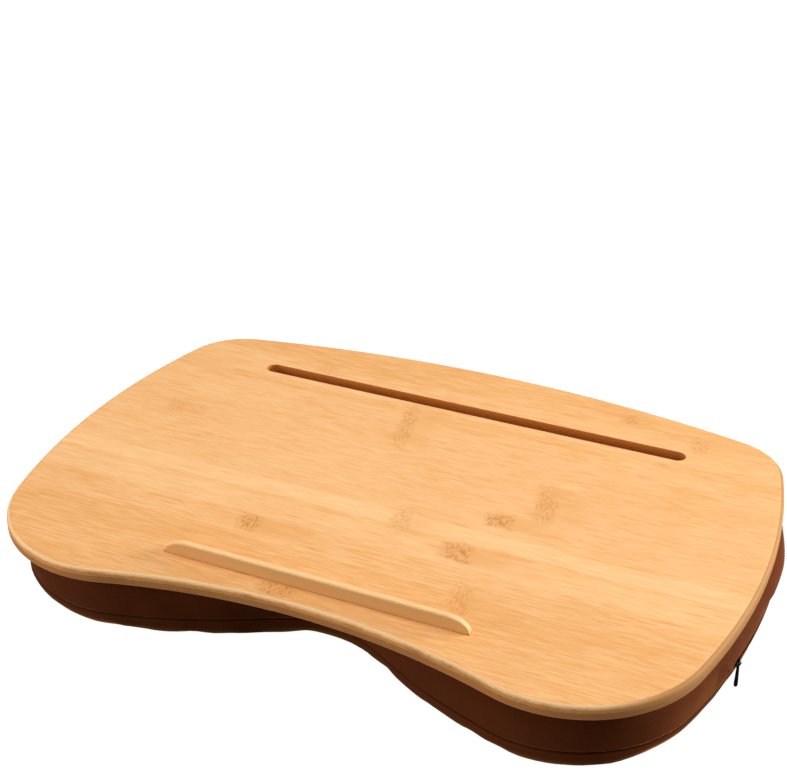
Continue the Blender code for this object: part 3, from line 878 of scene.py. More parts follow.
# %% The lap side's rings
BULGE_Z = 0.045
BASE_TUCK = 0.006
ROLL_WIDTH = 0.047
ROLL_DROP = 0.0287
CROWN_RISE = 0.0013
NOTCH_HALF_WIDTH = 0.065
NOTCH_LOW = 0.033
NOTCH_HIGH = 0.021
NOTCH_SPAN = (0.045, 0.115)
HOLLOW_HALF = (0.100, 0.070)
HOLLOW_Y = 0.015
HOLLOW_LOW_Y = -0.022
HOLLOW_RISE = 0.034
ASKEW = Matrix.Rotation(math.radians(-0.8), 4, "Z")
CUSHION_PLACE = Matrix.Translation((0.0031, 0.0019, 0.0)) @ ASKEW


def part_way(value, low, high):
    """How far a value has come from low to high, kept between 0 and 1."""
    return min(1.0, max(0.0, (value - low) / (high - low)))


def smooth(value, low, high):
    part = part_way(value, low, high)
    return part * part * (3 - 2 * part)


def tuck(z):
    return BASE_TUCK * max(0.0, (z - BULGE_Z) / (BASE_TOP_Z - BULGE_Z)) ** 2


def notched(x, y, z):
    """A point moved back by the front notch, which is deeper at the seam than above it."""
    depth = NOTCH_LOW - (NOTCH_LOW - NOTCH_HIGH) * part_way(z, SEAM_Z, BASE_TOP_Z)
    depth *= math.exp(-((x / NOTCH_HALF_WIDTH) ** 2))
    return x, y + depth * smooth(-y, *NOTCH_SPAN), z


def cushion_level(path, z):
    return [notched(x, y, z) for x, y in path]


def lap_point(x, y, drop, depth):
    return notched(x, y, max(SEAM_Z - drop, depth))


def hollow_rim(x, y):
    turn = math.atan2((y - HOLLOW_Y) / HOLLOW_HALF[1], x / HOLLOW_HALF[0])
    return HOLLOW_HALF[0] * math.cos(turn), HOLLOW_Y + HOLLOW_HALF[1] * math.sin(turn)


def lap_ring(stage, depth, counts=LOOP_COUNTS):
    """A ring of the lap side: stage 0 to 1 rolls, 1 to 2 crosses the crown, 2 to 3 dips."""
    if stage <= 1:
        turn = math.pi / 2 * stage
        inset = ROLL_WIDTH - (ROLL_WIDTH - depth) * math.cos(turn)
        drop = (ROLL_DROP - depth) * math.sin(turn)
        return [lap_point(x, y, drop, depth) for x, y in CUSHION.inset(inset).loop(counts)]
    full_drop = ROLL_DROP - depth + CROWN_RISE * min(1.0, 2 * (stage - 1))
    crown = CUSHION.inset(ROLL_WIDTH).loop(counts)
    rim = [hollow_rim(x, y) for x, y in crown]
    if stage <= 2:
        share = stage - 1
        return [
            lap_point(x + (u - x) * share, y + (v - y) * share, full_drop, depth)
            for (x, y), (u, v) in zip(crown, rim)
        ]
    share = 3 - stage
    rise = HOLLOW_RISE * (1 + math.cos(math.pi * share)) / 2
    ring = []
    for u, v in rim:
        x, y = u * share, HOLLOW_LOW_Y + (v - HOLLOW_LOW_Y) * share
        x, y, base = lap_point(x, y, full_drop, depth)
        ring.append((x, y, base + rise))
    return ring


LAP_STAGES = [0.0, 0.008, 0.016, 0.028, 0.045, 0.07, 0.10]
LAP_STAGES += [0.10 + 0.90 * i / 13 for i in range(1, 14)]
LAP_STAGES += [1.25, 1.5, 1.75, 2.0]
LAP_STAGES += [2 + 0.97 * i / 16 for i in range(1, 17)]
print("rings across the lap side:", len(LAP_STAGES))

# %% [markdown]
# ## Stuffing the cover
#
# Foam presses a sewn cover out wherever nothing holds it, and seams, zip and board hold
# it. A cloth simulation gives that: a slightly smaller copy of the whole cushion is
# remeshed to even cells and blown up with a little pressure, and each point's travel is
# kept as a field. The sewn pieces take their fullness from it, so seams stay sharp.

# %% The whole cushion as one skin
EASE_IN = 0.0010
TRAVEL = 0.0034
VOXEL = 0.005
COARSE = (20, 16, 14)
# The zip holds the skin behind these places, seam and board near them, the hollow inside.
HELD_RIGHT_Y = -0.082
HELD_LEFT_Y = 0.025
HELD_NEAR = 0.006
HELD_HOLLOW = 0.45


def cushion_skin():
    rings = []
    for z in (BAND_TOP_Z, 0.052, 0.048, BULGE_Z, 0.041, 0.037, 0.0335):
        rings.append(cushion_level(CUSHION.inset(tuck(z)).loop(COARSE), z))
    stages = [i / 9 for i in range(10)] + [1.5, 2.0] + [2 + i / 10 for i in range(1, 10)]
    rings += [lap_ring(stage, 0.0, COARSE) for stage in stages]
    return capped_mesh("cushion_skin", rings)


def zip_side(x, y):
    """1 where the zip runs: round the rear and along both sides, and 0 in front."""
    return 1.0 if y > (HELD_RIGHT_Y if x > 0 else HELD_LEFT_Y) else 0.0


def hold(x, y, z):
    """How firmly a point of the skin is held, from 0 to 1."""
    dip = math.hypot(x / HOLLOW_HALF[0], (y - HOLLOW_LOW_Y) / HOLLOW_HALF[1])
    at_seam = 1 - abs(z - SEAM_Z) / HELD_NEAR if dip > 1.1 else 0.0
    at_board = 1 - (BAND_TOP_Z - z) / HELD_NEAR
    at_zip = zip_side(x, y) if z > SEAM_Z + 0.002 else 0.0
    in_hollow = 1 - dip / HELD_HOLLOW if z < 0.050 else 0.0
    on_table = 1.0 if z < 0.003 else 0.0
    return min(1.0, max(0.0, at_seam, at_board, at_zip, in_hollow, on_table))


# %% The simulation
STUFFING = {
    "quality": 5,
    "mass": 0.3,
    "tension_stiffness": 12,
    "compression_stiffness": 12,
    "bending_stiffness": 0.4,
    "use_pressure": True,
    "uniform_pressure_force": 8,
    "shrink_min": -0.015,
}
STUFFING_FRAMES = 20


def stuffing_field():
    """Points of the skin and how far each travels when the cover is stuffed."""
    made = linked("cushion_skin", cushion_skin())
    remesh = made.modifiers.new("even_cells", "REMESH")
    remesh.mode = "VOXEL"
    remesh.voxel_size = VOXEL
    made.data = finished_mesh(made)
    made.modifiers.clear()
    mesh = made.data
    start = np.array([v.co for v in mesh.vertices])
    normals = np.array([v.normal for v in mesh.vertices])
    firm = np.array([hold(*point) for point in start])
    eased = start - normals * (EASE_IN * (1 - firm))[:, None]
    mesh.vertices.foreach_set("co", eased.ravel())
    held = made.vertex_groups.new(name="held")
    for i, weight in enumerate(firm):
        held.add([i], float(weight), "REPLACE")
    settings = made.modifiers.new("stuffing", "CLOTH").settings
    for key, value in STUFFING.items():
        setattr(settings, key, value)
    settings.effector_weights.gravity = 0
    settings.vertex_group_mass = "held"
    scene = bpy.context.scene
    for number in range(STUFFING_FRAMES):
        scene.frame_set(number + 1)
    blown = finished_mesh(made)
    after = np.array([v.co for v in blown.vertices])
    bpy.data.meshes.remove(blown)
    scene.frame_set(1)
    bpy.data.objects.remove(made)
    travel = after - eased
    length = np.linalg.norm(travel, axis=1)
    travel *= np.minimum(1.0, TRAVEL / np.maximum(length, 1e-9))[:, None]
    print("stuffing:", len(start), "points, up to", round(float(length.max()) * 1000, 1), "mm")
    return start, eased + travel - start


field_points, field_travel = stuffing_field()
field_tree = KDTree(len(field_points))
for index, point in enumerate(field_points):
    field_tree.insert(point, index)
field_tree.balance()


# %% [markdown]
# A sewn piece asks the field how far the skin near each of its points travelled: a
# weighted mean of the nearest points, which also smooths the cells away.


# %% Taking the fullness
FIELD_NEAREST = 14
FIELD_REACH = 0.007
SEAM_DEEP, SEAM_WIDE = 0.0018, 0.0014
PUCKER, PUCKER_LENGTH, PUCKER_REACH = 0.00022, 0.0030, 0.004
RIGHT_TUCK, LEFT_TUCK = 0.0034, 0.0022


def fullness(point):
    total = Vector((0.0, 0.0, 0.0))
    weights = 0.0
    for _, index, distance in field_tree.find_n(point, FIELD_NEAREST):
        weight = math.exp(-((distance / FIELD_REACH) ** 2)) + 1e-6
        total += weight * Vector(field_travel[index])
        weights += weight
    return total / weights


def soft_noise(x, y, z, size):
    """Smooth waves between -1 and 1 that don't repeat in the cushion's length."""
    return (
        math.sin(x / size * 2.1 + 1.3 * math.sin(y / size * 1.7 + 0.4))
        + math.sin(y / size * 2.7 + 1.1 * math.sin(x / size * 1.3 + z / size * 2.3))
        + math.sin((x + y) / size * 1.6 + 2.0)
    ) / 3


def seam_pull(x, y, z):
    """How far the cloth is drawn in at the seam, with small puckers beside it."""
    away = abs(z - SEAM_Z)
    groove = SEAM_DEEP * math.exp(-((away / SEAM_WIDE) ** 2))
    return groove + PUCKER * soft_noise(x, y, 0.0, PUCKER_LENGTH) * math.exp(-away / PUCKER_REACH)


def corner_tuck(x, y, stage):
    """How far the roll is tucked in under the front corners, below the seam."""
    right = RIGHT_TUCK * smooth(x, 0.203, 0.233) * smooth(-y, -0.03, 0.05)
    left = LEFT_TUCK * smooth(-x, 0.110, 0.145) * (1 - smooth(-x, 0.195, 0.220))
    left *= smooth(-y, 0.02, 0.08)
    return (right + left) * math.sin(math.pi * stage**1.3)


def outward(x, y):
    """The direction straight out of the cushion's wall, level."""
    turn = math.atan2(y, x)
    return math.cos(turn), math.sin(turn)


# %% [markdown]
# ## The lap side of the cover
#
# One stretch panel, 1 mm thick: an outside and an inside skin joined at the seam. No point
# goes below the table. The UV map unrolls the panel, so that the roll doesn't squeeze the
# knit.


# %% The lap cover
UNROLLED = 0.060
UNROLL_SHARE = 0.45


def lap_skin(depth):
    """Rings of the lap side with the stuffing's fullness, at a depth under its face."""
    rings = []
    for stage in LAP_STAGES:
        ring = []
        for (x, y, z), (ox, oy, oz) in zip(lap_ring(stage, depth), lap_ring(stage, 0.0)):
            travel = fullness((ox, oy, oz))
            out_x, out_y = outward(ox, oy)
            pull = seam_pull(ox, oy, oz) if stage < 0.35 else 0.0
            under = corner_tuck(ox, oy, stage) if stage < 1 else 0.0
            pull += under
            x += travel.x - out_x * pull
            y += travel.y - out_y * pull
            z = max(z + travel.z + under / 2, depth)
            ring.append((x, y, z))
        rings.append(ring)
    return rings


def lap_mesh(name, depths):
    bm = bmesh.new()
    flat = {}
    ends = []
    for depth in depths:
        rows = ring_rows(bm, lap_skin(depth))
        tip = fan(bm, rows[-1], (0.0, HOLLOW_LOW_Y, depth + HOLLOW_RISE))
        flat.update(runs(rows))
        flat[tip] = flat[rows[-1][0]]
        ends.append(rows[0])
    join_rows(bm, *ends)

    def unrolled(vert):
        out_x, out_y = outward(vert.co.x, vert.co.y)
        roll = max(0.0, UNROLLED - flat[vert]) * UNROLL_SHARE
        return vert.co.x + out_x * roll, vert.co.y + out_y * roll

    map_cloth(bm, unrolled)
    return mesh_from(bm, name)


lap_form = lap_mesh("lap_cover", (0.0, CLOTH))
lap_cover = cushion_piece("lap_cover", lap_form, knit, ["lap_panel"])
print("lap cover:", len(lap_cover.data.polygons), "faces")

# %% [markdown]
# ## The band
#
# The upright strip between the seam and the board. In front it is one strip of knit. Round
# the back and the sides the zip divides it into a lower and an upper strip, and their
# edges are lips that cover the zip's tapes. On the right side the upper strip is fuller
# than its tape: it puffs out behind one upright crease, ruffles at the zip's start, and
# both strips' edges stand out over the slider's way, so that only the pull looks out.

# %% Strips of the band
ZIP_START = -0.068 / SIDE_RADIUS
ZIP_END = 0.038 / SIDE_RADIUS
TEETH_HIGH = 0.0020
TAPE_LOW = TEETH_HIGH + GAP
TAPE_HIGH = TAPE_LOW + 0.0037
TAPE_THICKNESS = 0.0006
LIP_EDGE = 0.0036
LIP_CLOTH = 0.0006
LIP_OUT = 0.0006
LIP_REACH = 0.0025
FLAP_OUT = {1: 0.0026, -1: 0.00225}
SLIT = 0.0018
CREASE_Y = 0.003
RUFFLE_Y = -0.053
CREASE_DEEP = RUFFLE_OUT = 0.0014
FULLEST = 0.32
WAVES, WAVES_LENGTH = 0.0005, 0.022
# How far the full cloth stands out on the right, in millimetres, at places along Y.
PUFF = ((-0.075, 0.0), (-0.060, 0.6), (-0.030, 1.2), (-0.012, 1.8), (-0.001, 2.6), (0.008, 5.0))
PUFF += ((0.025, 5.6), (0.045, 6.2), (0.060, 5.4), (0.080, 3.6), (0.100, 1.8), (0.130, 0.0))


def flap_reach(x, y):
    """1 where the upper strip's edge hangs as a flap over the slider's way."""
    return smooth(y, -0.084, -0.0655) * (1 - smooth(y, 0.099, 0.118)) if x > 0.2 else 0.0


def flap(x, y, z):
    """How far the cloth stands out for the slider to pass under both strips' edges."""
    up = z - ZIP_Z
    shape = smooth(up, -0.0085, -0.0042) * (1 - smooth(up, 0.004, 0.011))
    return FLAP_OUT[1 if up > 0 else -1] * flap_reach(x, y) * shape


def flap_edge(x, y, z):
    """The height of a strip's point where its edge closes over the slider's way."""
    up = z - ZIP_Z
    way = 1 if up > 0 else -1
    slit = SLIT * smooth(y, -0.0645, -0.0610) + 0.00025
    share = flap_reach(x, y) * (1 - smooth(abs(up), LIP_EDGE, TAPE_HIGH + 0.003))
    return z + way * (slit - LIP_EDGE) * share


def puff(x, y, z):
    """Outward travel of the full cloth on the right side of the upper strip."""
    low = ZIP_Z + LIP_EDGE
    if x < 0.2 or z < low:
        return 0.0
    up = (z - low) / (BAND_TOP_Z - low)
    off = up - FULLEST
    belly = math.cos(math.pi / 2 * off / (FULLEST if off < 0 else 1 - FULLEST))
    near = [float(np.interp(y + step, *zip(*PUFF))) for step in (-0.003, 0.0, 0.003)]
    ruffle = RUFFLE_OUT * math.exp(-(((y - RUFFLE_Y) / 0.0050) ** 2))
    crease = CREASE_DEEP * math.exp(-(((y - CREASE_Y) / 0.0030) ** 2))
    return (sum(near) / 3000 + ruffle) * belly - crease * smooth(up, 0.1, 0.3) * (1 - up)


def lip(z):
    """How far a strip's lip stands out over the zip's tape, rounded at its edge."""
    away = abs(z - ZIP_Z)
    rounded = min(1.0, 0.45 + (away - LIP_EDGE) / 0.0005)
    return LIP_OUT * rounded * part_way(TAPE_HIGH + LIP_REACH - away, 0.0, 0.002)


def band_point(path_point, z, zipped=True):
    x, y, z = notched(*path_point, z)
    travel = fullness((x, y, z))
    out_x, out_y = outward(x, y)
    below_board = max(0.0, (BAND_TOP_Z - z) / (BAND_TOP_Z - SEAM_Z))
    full = puff(x, y, z)
    out = (max(0.0, full) ** 4 + flap(x, y, z) ** 4) ** 0.25 + min(0.0, full) - seam_pull(x, y, z)
    if zipped:
        out += lip(z) * (1 - flap_reach(x, y))
        z = flap_edge(x, y, z)
    out += WAVES * soft_noise(x, y, z, WAVES_LENGTH) * (1 - zip_side(x, y)) * below_board
    return x + travel.x + out_x * out, y + travel.y + out_y * out, z


def band_mesh(name, end, angles, heights):
    outer, inner = [], []
    for z in heights:
        zipped = end > 0
        thick = LIP_CLOTH if zipped and abs(z - ZIP_Z) < TAPE_HIGH + GAP else CLOTH
        face = CUSHION.inset(tuck(z)).path_round(end, *angles)
        back = CUSHION.inset(tuck(z) + thick).path_round(end, *angles)
        shaped = [band_point(point, z, zipped) for point in face]
        moved = zip(shaped, face, back)
        outer.append(shaped)
        inner.append([(x + u - a, y + v - b, up) for (x, y, up), (a, b), (u, v) in moved])
    return long_strip(outer + inner[::-1], name)


def strip_heights(low, high, count, *extra):
    even = [low + (high - low) * i / count for i in range(count + 1)]
    return sorted(set(round(z, 6) for z in even + list(extra)))


NEAR_SEAM = [SEAM_Z + GAP / 2 + step for step in (0.0004, 0.0009, 0.0016, 0.0026)]
NEAR_ZIP = (0.00015, 0.0003, 0.0006)
ZIP_ANGLES = (ZIP_START, ZIP_END)
BAND_ANGLES = (ZIP_START - GAP / SIDE_RADIUS, ZIP_END - GAP / SIDE_RADIUS)
low_edge, high_edge = ZIP_Z - LIP_EDGE, ZIP_Z + LIP_EDGE
front_heights = strip_heights(SEAM_Z + GAP / 2, BAND_TOP_Z, 12, *NEAR_SEAM)
low_near = [low_edge - step for step in NEAR_ZIP]
high_near = [high_edge + step for step in NEAR_ZIP]
low_heights = strip_heights(SEAM_Z + GAP / 2, low_edge, 5, *NEAR_SEAM, *low_near)
high_heights = strip_heights(high_edge, BAND_TOP_Z, 10, *high_near)
for name, end, angles, heights, node in (
    ("front_band", -1, BAND_ANGLES, front_heights, "side_band"),
    ("lower_strip", 1, ZIP_ANGLES, low_heights, "zip_panel_lower"),
    ("upper_strip", 1, ZIP_ANGLES, high_heights, "zip_panel_upper"),
):
    strip = cushion_piece(name, band_mesh(name, end, angles, heights), knit, [node])
    print(name, len(strip.data.polygons), "faces")


# %% [markdown]
# ## Foam and base panel
#
# The foam follows the same form 1.3 mm under the cover's face, and stands back from the
# band to leave room for the zip. The base panel is the flat side that faces the board.


# %% The foam pad
FOAM_EASE = 0.003


def foam_mesh():
    bm = bmesh.new()
    rings = []
    for z in (BAND_TOP_Z - 0.0002, 0.052, BULGE_Z, 0.038, SEAM_Z + FOAM_EASE):
        rings.append(cushion_level(CUSHION.inset(tuck(z) + FOAM_EASE + 0.0006).loop(), z))
    rings += lap_skin(CLOTH + GAP)[3:]
    rows = ring_rows(bm, rings)
    bm.faces.new(rows[0])
    fan(bm, rows[-1], (0.0, HOLLOW_LOW_Y, CLOTH + GAP + HOLLOW_RISE))
    return mesh_from(bm, "foam_pad")


foam_pad = cushion_piece("foam_pad", foam_mesh(), foam_look, ["foam_core"])


# %% The base panel
base_plan = CUSHION.inset(BASE_TUCK).loop()
base_rings = [cushion_level(base_plan, z) for z in (BASE_TOP_Z - CLOTH, BASE_TOP_Z)]
base_mesh = capped_mesh("base_cover", base_rings)
cushion_piece("base_cover", base_mesh, twill, ["base_panel"], 30)
print("base panel:", len(base_mesh.polygons), "faces")

# %% [markdown]
# ## The zip
#
# A coil zip: two woven tapes, and on the edge of each a nylon thread bent into small
# loops, which sit between those of the other row. Geometry Nodes repeat them along a path.


# %% Geometry trees
class Growth(Tree):
    """A Geometry Nodes tree whose inputs have names and values."""

    def __init__(self, name, inputs):
        super().__init__(bpy.data.node_groups.new(name, "GeometryNodeTree"))
        face = self.tree.interface
        face.new_socket("Geometry", in_out="INPUT", socket_type="NodeSocketGeometry")
        face.new_socket("Geometry", in_out="OUTPUT", socket_type="NodeSocketGeometry")
        self.values = inputs
        for label, value in inputs.items():
            kind = "NodeSocketFloat" if isinstance(value, float) else "NodeSocketVector"
            face.new_socket(label, in_out="INPUT", socket_type=kind)
        self.start = self.tree.nodes.new("NodeGroupInput")
        self.end = self.tree.nodes.new("NodeGroupOutput")

    def size(self, label):
        return Wire(self, self.start.outputs[label])

    def grown(self, name, points, look, geometry):
        """Ends the tree, grows it along the points and returns a plain mesh."""
        real = self.node("GeometryNodeRealizeInstances", {}, [(0, geometry)])
        values = [("Geometry", real), ("Material", look)]
        self.feed(self.end.inputs[0], self.node("GeometryNodeSetMaterial", {}, values))
        line = bpy.data.meshes.new(name)
        line.from_pydata(points, [(i, i + 1) for i in range(len(points) - 1)], [])
        made = linked(name, line)
        modifier = made.modifiers.new(name, "NODES")
        modifier.node_group = self.tree
        for item in self.tree.interface.items_tree:
            if item.in_out == "INPUT" and item.name in self.values:
                modifier[item.identifier] = self.values[item.name]
        mesh = finished_mesh(made)
        bpy.data.objects.remove(made)
        return mesh


# %% [markdown]
# One tree makes the coil and the stitches: it walks a path in equal steps and sets at each
# a piece of thread that bends from one point through a handle to another. The thread's own
# Y lies along the path, its X points out of the cushion and its Z is up.


# %% Threads along a path
PAST_END = 10.0


def threads(name, points, look, step, start, middle, end, thickness, offset):
    sizes = {"Step": step, "Thread radius": thickness / 2}
    bends = {"Start": Vector(start), "Middle": Vector(middle), "End": Vector(end)}
    growth = Growth(name, {**sizes, **bends})
    node, size = growth.node, growth.size
    path = node("GeometryNodeMeshToCurve", {}, [(0, size("Geometry"))])
    by_length = {"mode": "LENGTH"}
    values = [(0, path), (4, offset), (5, PAST_END)]
    trimmed = node("GeometryNodeTrimCurve", by_length, values)
    values = [(0, trimmed), (2, size("Step"))]
    spaced = node("GeometryNodeCurveToPoints", by_length, values)
    axes = {"axis": "Y", "pivot_axis": "Z"}
    values = [("Vector", Wire(growth, spaced.socket.node.outputs["Tangent"]))]
    turned = node("FunctionNodeAlignRotationToVector", axes, values)
    values = [("Resolution", 5), ("Start", size("Start")), ("End", size("End"))]
    values += [(end + " Handle", size("Middle")) for end in ("Start", "End")]
    bend = node("GeometryNodeCurvePrimitiveBezierSegment", {"mode": "POSITION"}, values)
    values = [("Resolution", 5), ("Radius", size("Thread radius"))]
    rim = node("GeometryNodeCurvePrimitiveCircle", {"mode": "RADIUS"}, values)
    values = [(0, bend), (1, rim), ("Fill Caps", True)]
    thread = node("GeometryNodeCurveToMesh", {}, values)
    values = [("Points", spaced), ("Instance", thread), ("Rotation", turned)]
    placed = node("GeometryNodeInstanceOnPoints", {}, values)
    return growth.grown(name, points, look, placed)


# %% [markdown]
# The tapes first, as plain strips along the zip's line. Then the coil: each loop goes from
# the tape's edge out towards the other row and back.


# %% Tapes and coil
def zip_path(thickness, shorten=0.0):
    side = shorten / SIDE_RADIUS
    return ZIP_LINE.inset(-thickness / 2).path_round(1, ZIP_START + side, ZIP_END + side)


def tape_mesh(name, low, high):
    outer, inner = zip_path(TAPE_THICKNESS), zip_path(-TAPE_THICKNESS)
    edges = ((outer, low), (outer, high), (inner, high), (inner, low))
    return long_strip([level(path, z) for path, z in edges], name)


PITCH = 0.00128
STOP_ROOM = 0.0023 + 0.0007
COIL_THREAD = 0.0006
COIL_HALF = 0.0006
ZIP_SIDES = (("upper", 1), ("lower", -1))
for side, way in ZIP_SIDES:
    low, high = sorted((ZIP_Z + way * TAPE_LOW, ZIP_Z + way * TAPE_HIGH))
    name, nodes = "tape_" + side, ["zip_tape_" + side]
    cushion_piece(name, tape_mesh(name, low, high), tape_look, nodes, 30)
    name = "coil_" + side
    start = (COIL_HALF, 0.0, way * (TEETH_HIGH + 0.0001))
    middle = (0.00075, 0.0, way * -0.0006)
    end = (-COIL_HALF, PITCH * 0.25, way * (TEETH_HIGH - 0.0001))
    line = level(zip_path(0.0, STOP_ROOM), ZIP_Z)
    offset = 0.0 if way > 0 else PITCH / 2
    coil = threads(name, line, coil_look, PITCH, start, middle, end, COIL_THREAD, offset)
    coil = cushion_piece(name, coil, coil_look, ["zip_teeth_" + side])
    print(name, len(coil.data.polygons), "faces")

# %% [markdown]
# The strips of the band are sewn to the tapes with a row of lockstitches, which lie just
# on the cloth. Their path is a line of the strip, 1.9 mm beyond the tape's outer edge.

# %% Stitches beside the zip
STITCH_AWAY = 0.0016
STITCH_STEP = 0.0030
STITCH_HALF = 0.0011
STITCH_THREAD = 0.00036
STITCH_BEND = [(-0.0001, -STITCH_HALF, 0.0), (0.0004, 0.0, 0.0), (-0.0001, STITCH_HALF, 0.0)]
for side, way in ZIP_SIDES:
    name = "stitches_" + side
    z = ZIP_Z + way * (TAPE_HIGH + GAP + STITCH_AWAY)
    line = [band_point(point, z) for point in CUSHION.inset(tuck(z)).path_round(1, *ZIP_ANGLES)]
    sewn = threads(name, line, thread_look, STITCH_STEP, *STITCH_BEND, STITCH_THREAD, 0.001)
    cushion_piece(name, sewn, thread_look, ())
    print(name, len(sewn.polygons), "faces")

# %% [markdown]
# ## Slider, pull and stops
#
# The slider is two shield-shaped plates with turned-in edges, joined by a wedge between the
# rows, and a low bridge on the outer plate carries the pull. The pull is a round eye that
# runs into a slim blade and hangs straight down. A Bevel modifier rounds their edges.

# %% The slider's place
SLIDER_ANGLE = -0.056 / SIDE_RADIUS
PLATE_IN = 0.0009 + GAP
PLATE_OUT = PLATE_IN + 0.0008
EYE_RADIUS = 0.0018
BAR_OUT = PLATE_OUT + EYE_RADIUS + GAP
slider_x, slider_y = ZIP_LINE.side_point(SLIDER_ANGLE)
slider_place = (
    CUSHION_PLACE
    @ Matrix.Translation((slider_x, slider_y, ZIP_Z))
    @ Matrix.Rotation(SLIDER_ANGLE, 4, "Z")
)


def slab(bm, outline, low, high):
    """A plate: an outline in the zip's plane, thick between two distances outwards."""
    capped(bm, [[(out, y, z) for y, z in outline] for out in (low, high)])


def shield(half_front, half_back, half_length):
    """A slider plate's outline: a wide round end and a narrow round end."""
    points = []
    for end, half in ((-1, half_front), (1, half_back)):
        for i in range(9):
            turn = math.pi * (i / 8 - 0.5)
            y = end * (half_length - half * 0.35 * (1 - math.cos(turn)))
            points.append((y, end * half * math.sin(turn) * -1))
    return points


# %% The slider
def slider_mesh():
    bm = bmesh.new()
    inner, outer = PLATE_IN, PLATE_OUT
    for way in (1, -1):
        slab(bm, shield(0.0034, 0.0028, 0.005), way * inner, way * outer)
        for side in (1, -1):
            edge = [(-0.0043, 0.0034), (0.0043, 0.0029), (0.0043, 0.0021), (-0.0043, 0.0024)]
            edge = [(y, side * z) for y, z in edge]
            slab(bm, edge, way * 0.0006, way * (inner + 0.0004))
    wedge = [(-0.0015, 0.0005), (0.0015, 0.0002), (0.0015, -0.0002), (-0.0015, -0.0005)]
    slab(bm, wedge, -inner - 0.0003, inner + 0.0003)
    for side in (1, -1):
        leg = ((0.0023, -0.0008), (0.0031, -0.0008), (0.0031, 0.0008), (0.0023, 0.0008))
        slab(bm, [(side * y, z) for y, z in leg], outer - 0.0004, BAR_OUT + 0.0003)
    bar = [(-0.0031, -0.0004), (0.0031, -0.0004), (0.0031, 0.0004), (-0.0031, 0.0004)]
    slab(bm, bar, BAR_OUT - 0.0004, BAR_OUT + 0.0004)
    bm.transform(slider_place)
    return mesh_from(bm, "slider")


slider = piece("slider", slider_mesh(), enamel, ["zip_slider"], "slider", 35)
soften(slider, "cast_edges", 0.00022, 2, 40)
print("slider stands", round(BAR_OUT * 1000, 1), "mm out of the zip")


# %% The pull
def pull_mesh():
    eye, bore, neck, tip, length = EYE_RADIUS, 0.0009, 0.0014, 0.0024, 0.0185
    lean = math.asin(neck / 2 / eye) / (math.pi / 2)
    outline = arc(0.0, 0.0, eye, lean - 1, 3 - lean, 40)
    outline += arc(0.0, tip / 2 - length, tip / 2, 2, 4, 14)
    hole = arc(0.0, 0.0, bore, 0, 4, 24)[:-1]
    bm = bmesh.new()
    sides = []
    for y in (-0.0007, 0.0007):
        rows = [[bm.verts.new((x, y, z)) for x, z in shape] for shape in (outline, hole)]
        fill_between(bm, *rows)
        sides.append(rows)
    for near, far in zip(*sides):
        join_rows(bm, near, far)
    bm.transform(slider_place @ Matrix.Translation((BAR_OUT, 0.0, 0.0)))
    return mesh_from(bm, "pull")


pull = piece("pull", pull_mesh(), enamel, ["zip_pull"], "pull", 35)
soften(pull, "cast_edges", 0.00035, 3, 40)
print("pull:", len(pull.data.polygons), "faces before its edges are rounded")

# %% [markdown]
# The stops are plain clamps in the solids already and the fastening strips are flat, so
# they only get finishes.

# %% Finishes for the solids that stay
STAYING = {"front_stop": enamel, "rear_stop": enamel, "hook_strip": hooks, "loop_strip": loops}
for name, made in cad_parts.items():
    for start, look in STAYING.items():
        if name.startswith(start):
            made.data.materials.clear()
            made.data.materials.append(look)
print("solids that stay:", sum(not o.hide_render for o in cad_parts.values()))

# %% [markdown]
# ## Table and light
#
# A plain floor and soft studio light: one wide lamp overhead, a smaller one from the right
# rear and a weak one from the left front. The world is white to the camera and dim to the
# desk. The floor glows for the camera alone, and is grey to the light that bounces.


# %% The floor
FLOOR_GLOW = 1.36
FLOOR_Z = -0.0002


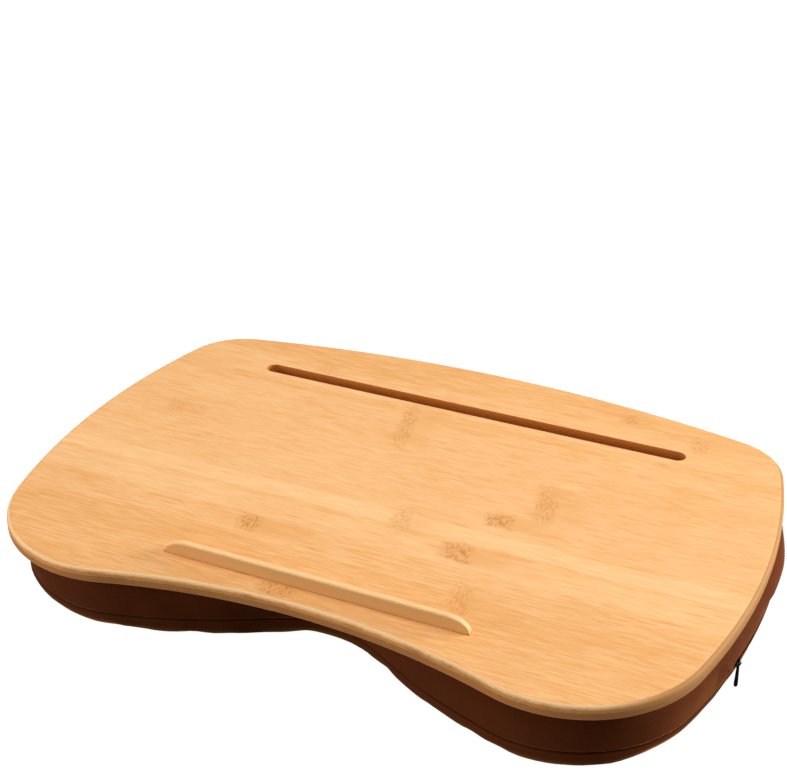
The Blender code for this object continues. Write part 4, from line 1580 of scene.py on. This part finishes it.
def floor_finish():
    """Grey for the light that bounces, and nearly white where it is looked at."""
    finish = Finish("studio_floor", Roughness=0.9, Specular_IOR_Level=0.1)
    grain = finish.noise(finish.place(), 60.0, 2.0)
    finish.set(Base_Color=finish.mixed(grain, (0.25, 0.25, 0.25), (0.27, 0.27, 0.27)))
    glow = finish.node("ShaderNodeEmission", {}, [("Strength", FLOOR_GLOW)])
    share = finish.node("ShaderNodeLightPath") * 0.75
    values = ((0, share), (1, Wire(finish, finish.shader.outputs[0])), (2, glow))
    both = finish.node("ShaderNodeMixShader", {}, values)
    finish.feed(finish.tree.nodes["Material Output"].inputs[0], both)
    return finish.material


def floor_mesh():
    bm = bmesh.new()
    bmesh.ops.create_grid(bm, x_segments=8, y_segments=8, size=6.0)
    mesh = bpy.data.meshes.new("floor")
    bm.to_mesh(mesh)
    bm.free()
    return mesh


floor = linked("floor", floor_mesh())
floor.data.materials.append(floor_finish())
floor.location = (0.0, 0.0, FLOOR_Z)


# %% The lamps and the world
def lamp(name, place, aim, size, power):
    light = bpy.data.lights.new(name, "AREA")
    light.shape = "RECTANGLE"
    light.size, light.size_y = size
    light.energy = power
    made = linked(name, light)
    made.location = place
    made.rotation_mode = "QUATERNION"
    made.rotation_quaternion = (Vector(aim) - Vector(place)).to_track_quat("-Z", "Y")


AIR_LIGHT = 0.13
lamp("overhead", (0.05, 0.05, 1.9), (0.0, 0.0, 0.0), (1.6, 1.6), 29.6)
lamp("right_fill", (1.55, 0.98, 0.42), (0.1, 0.0, 0.03), (1.0, 0.7), 42.0)
lamp("left_fill", (-1.55, -1.0, 0.42), (-0.1, 0.0, 0.03), (1.0, 0.7), 14.5)
world = bpy.data.worlds.new("studio")
world.use_nodes = True
bpy.context.scene.world = world
sky = Tree(world.node_tree)
air = sky.tree.nodes["Background"]
air.inputs["Color"].default_value = (1.0, 1.0, 1.0, 1.0)
sky.feed(air.inputs["Strength"], sky.node("ShaderNodeLightPath") * (1 - AIR_LIGHT) + AIR_LIGHT)
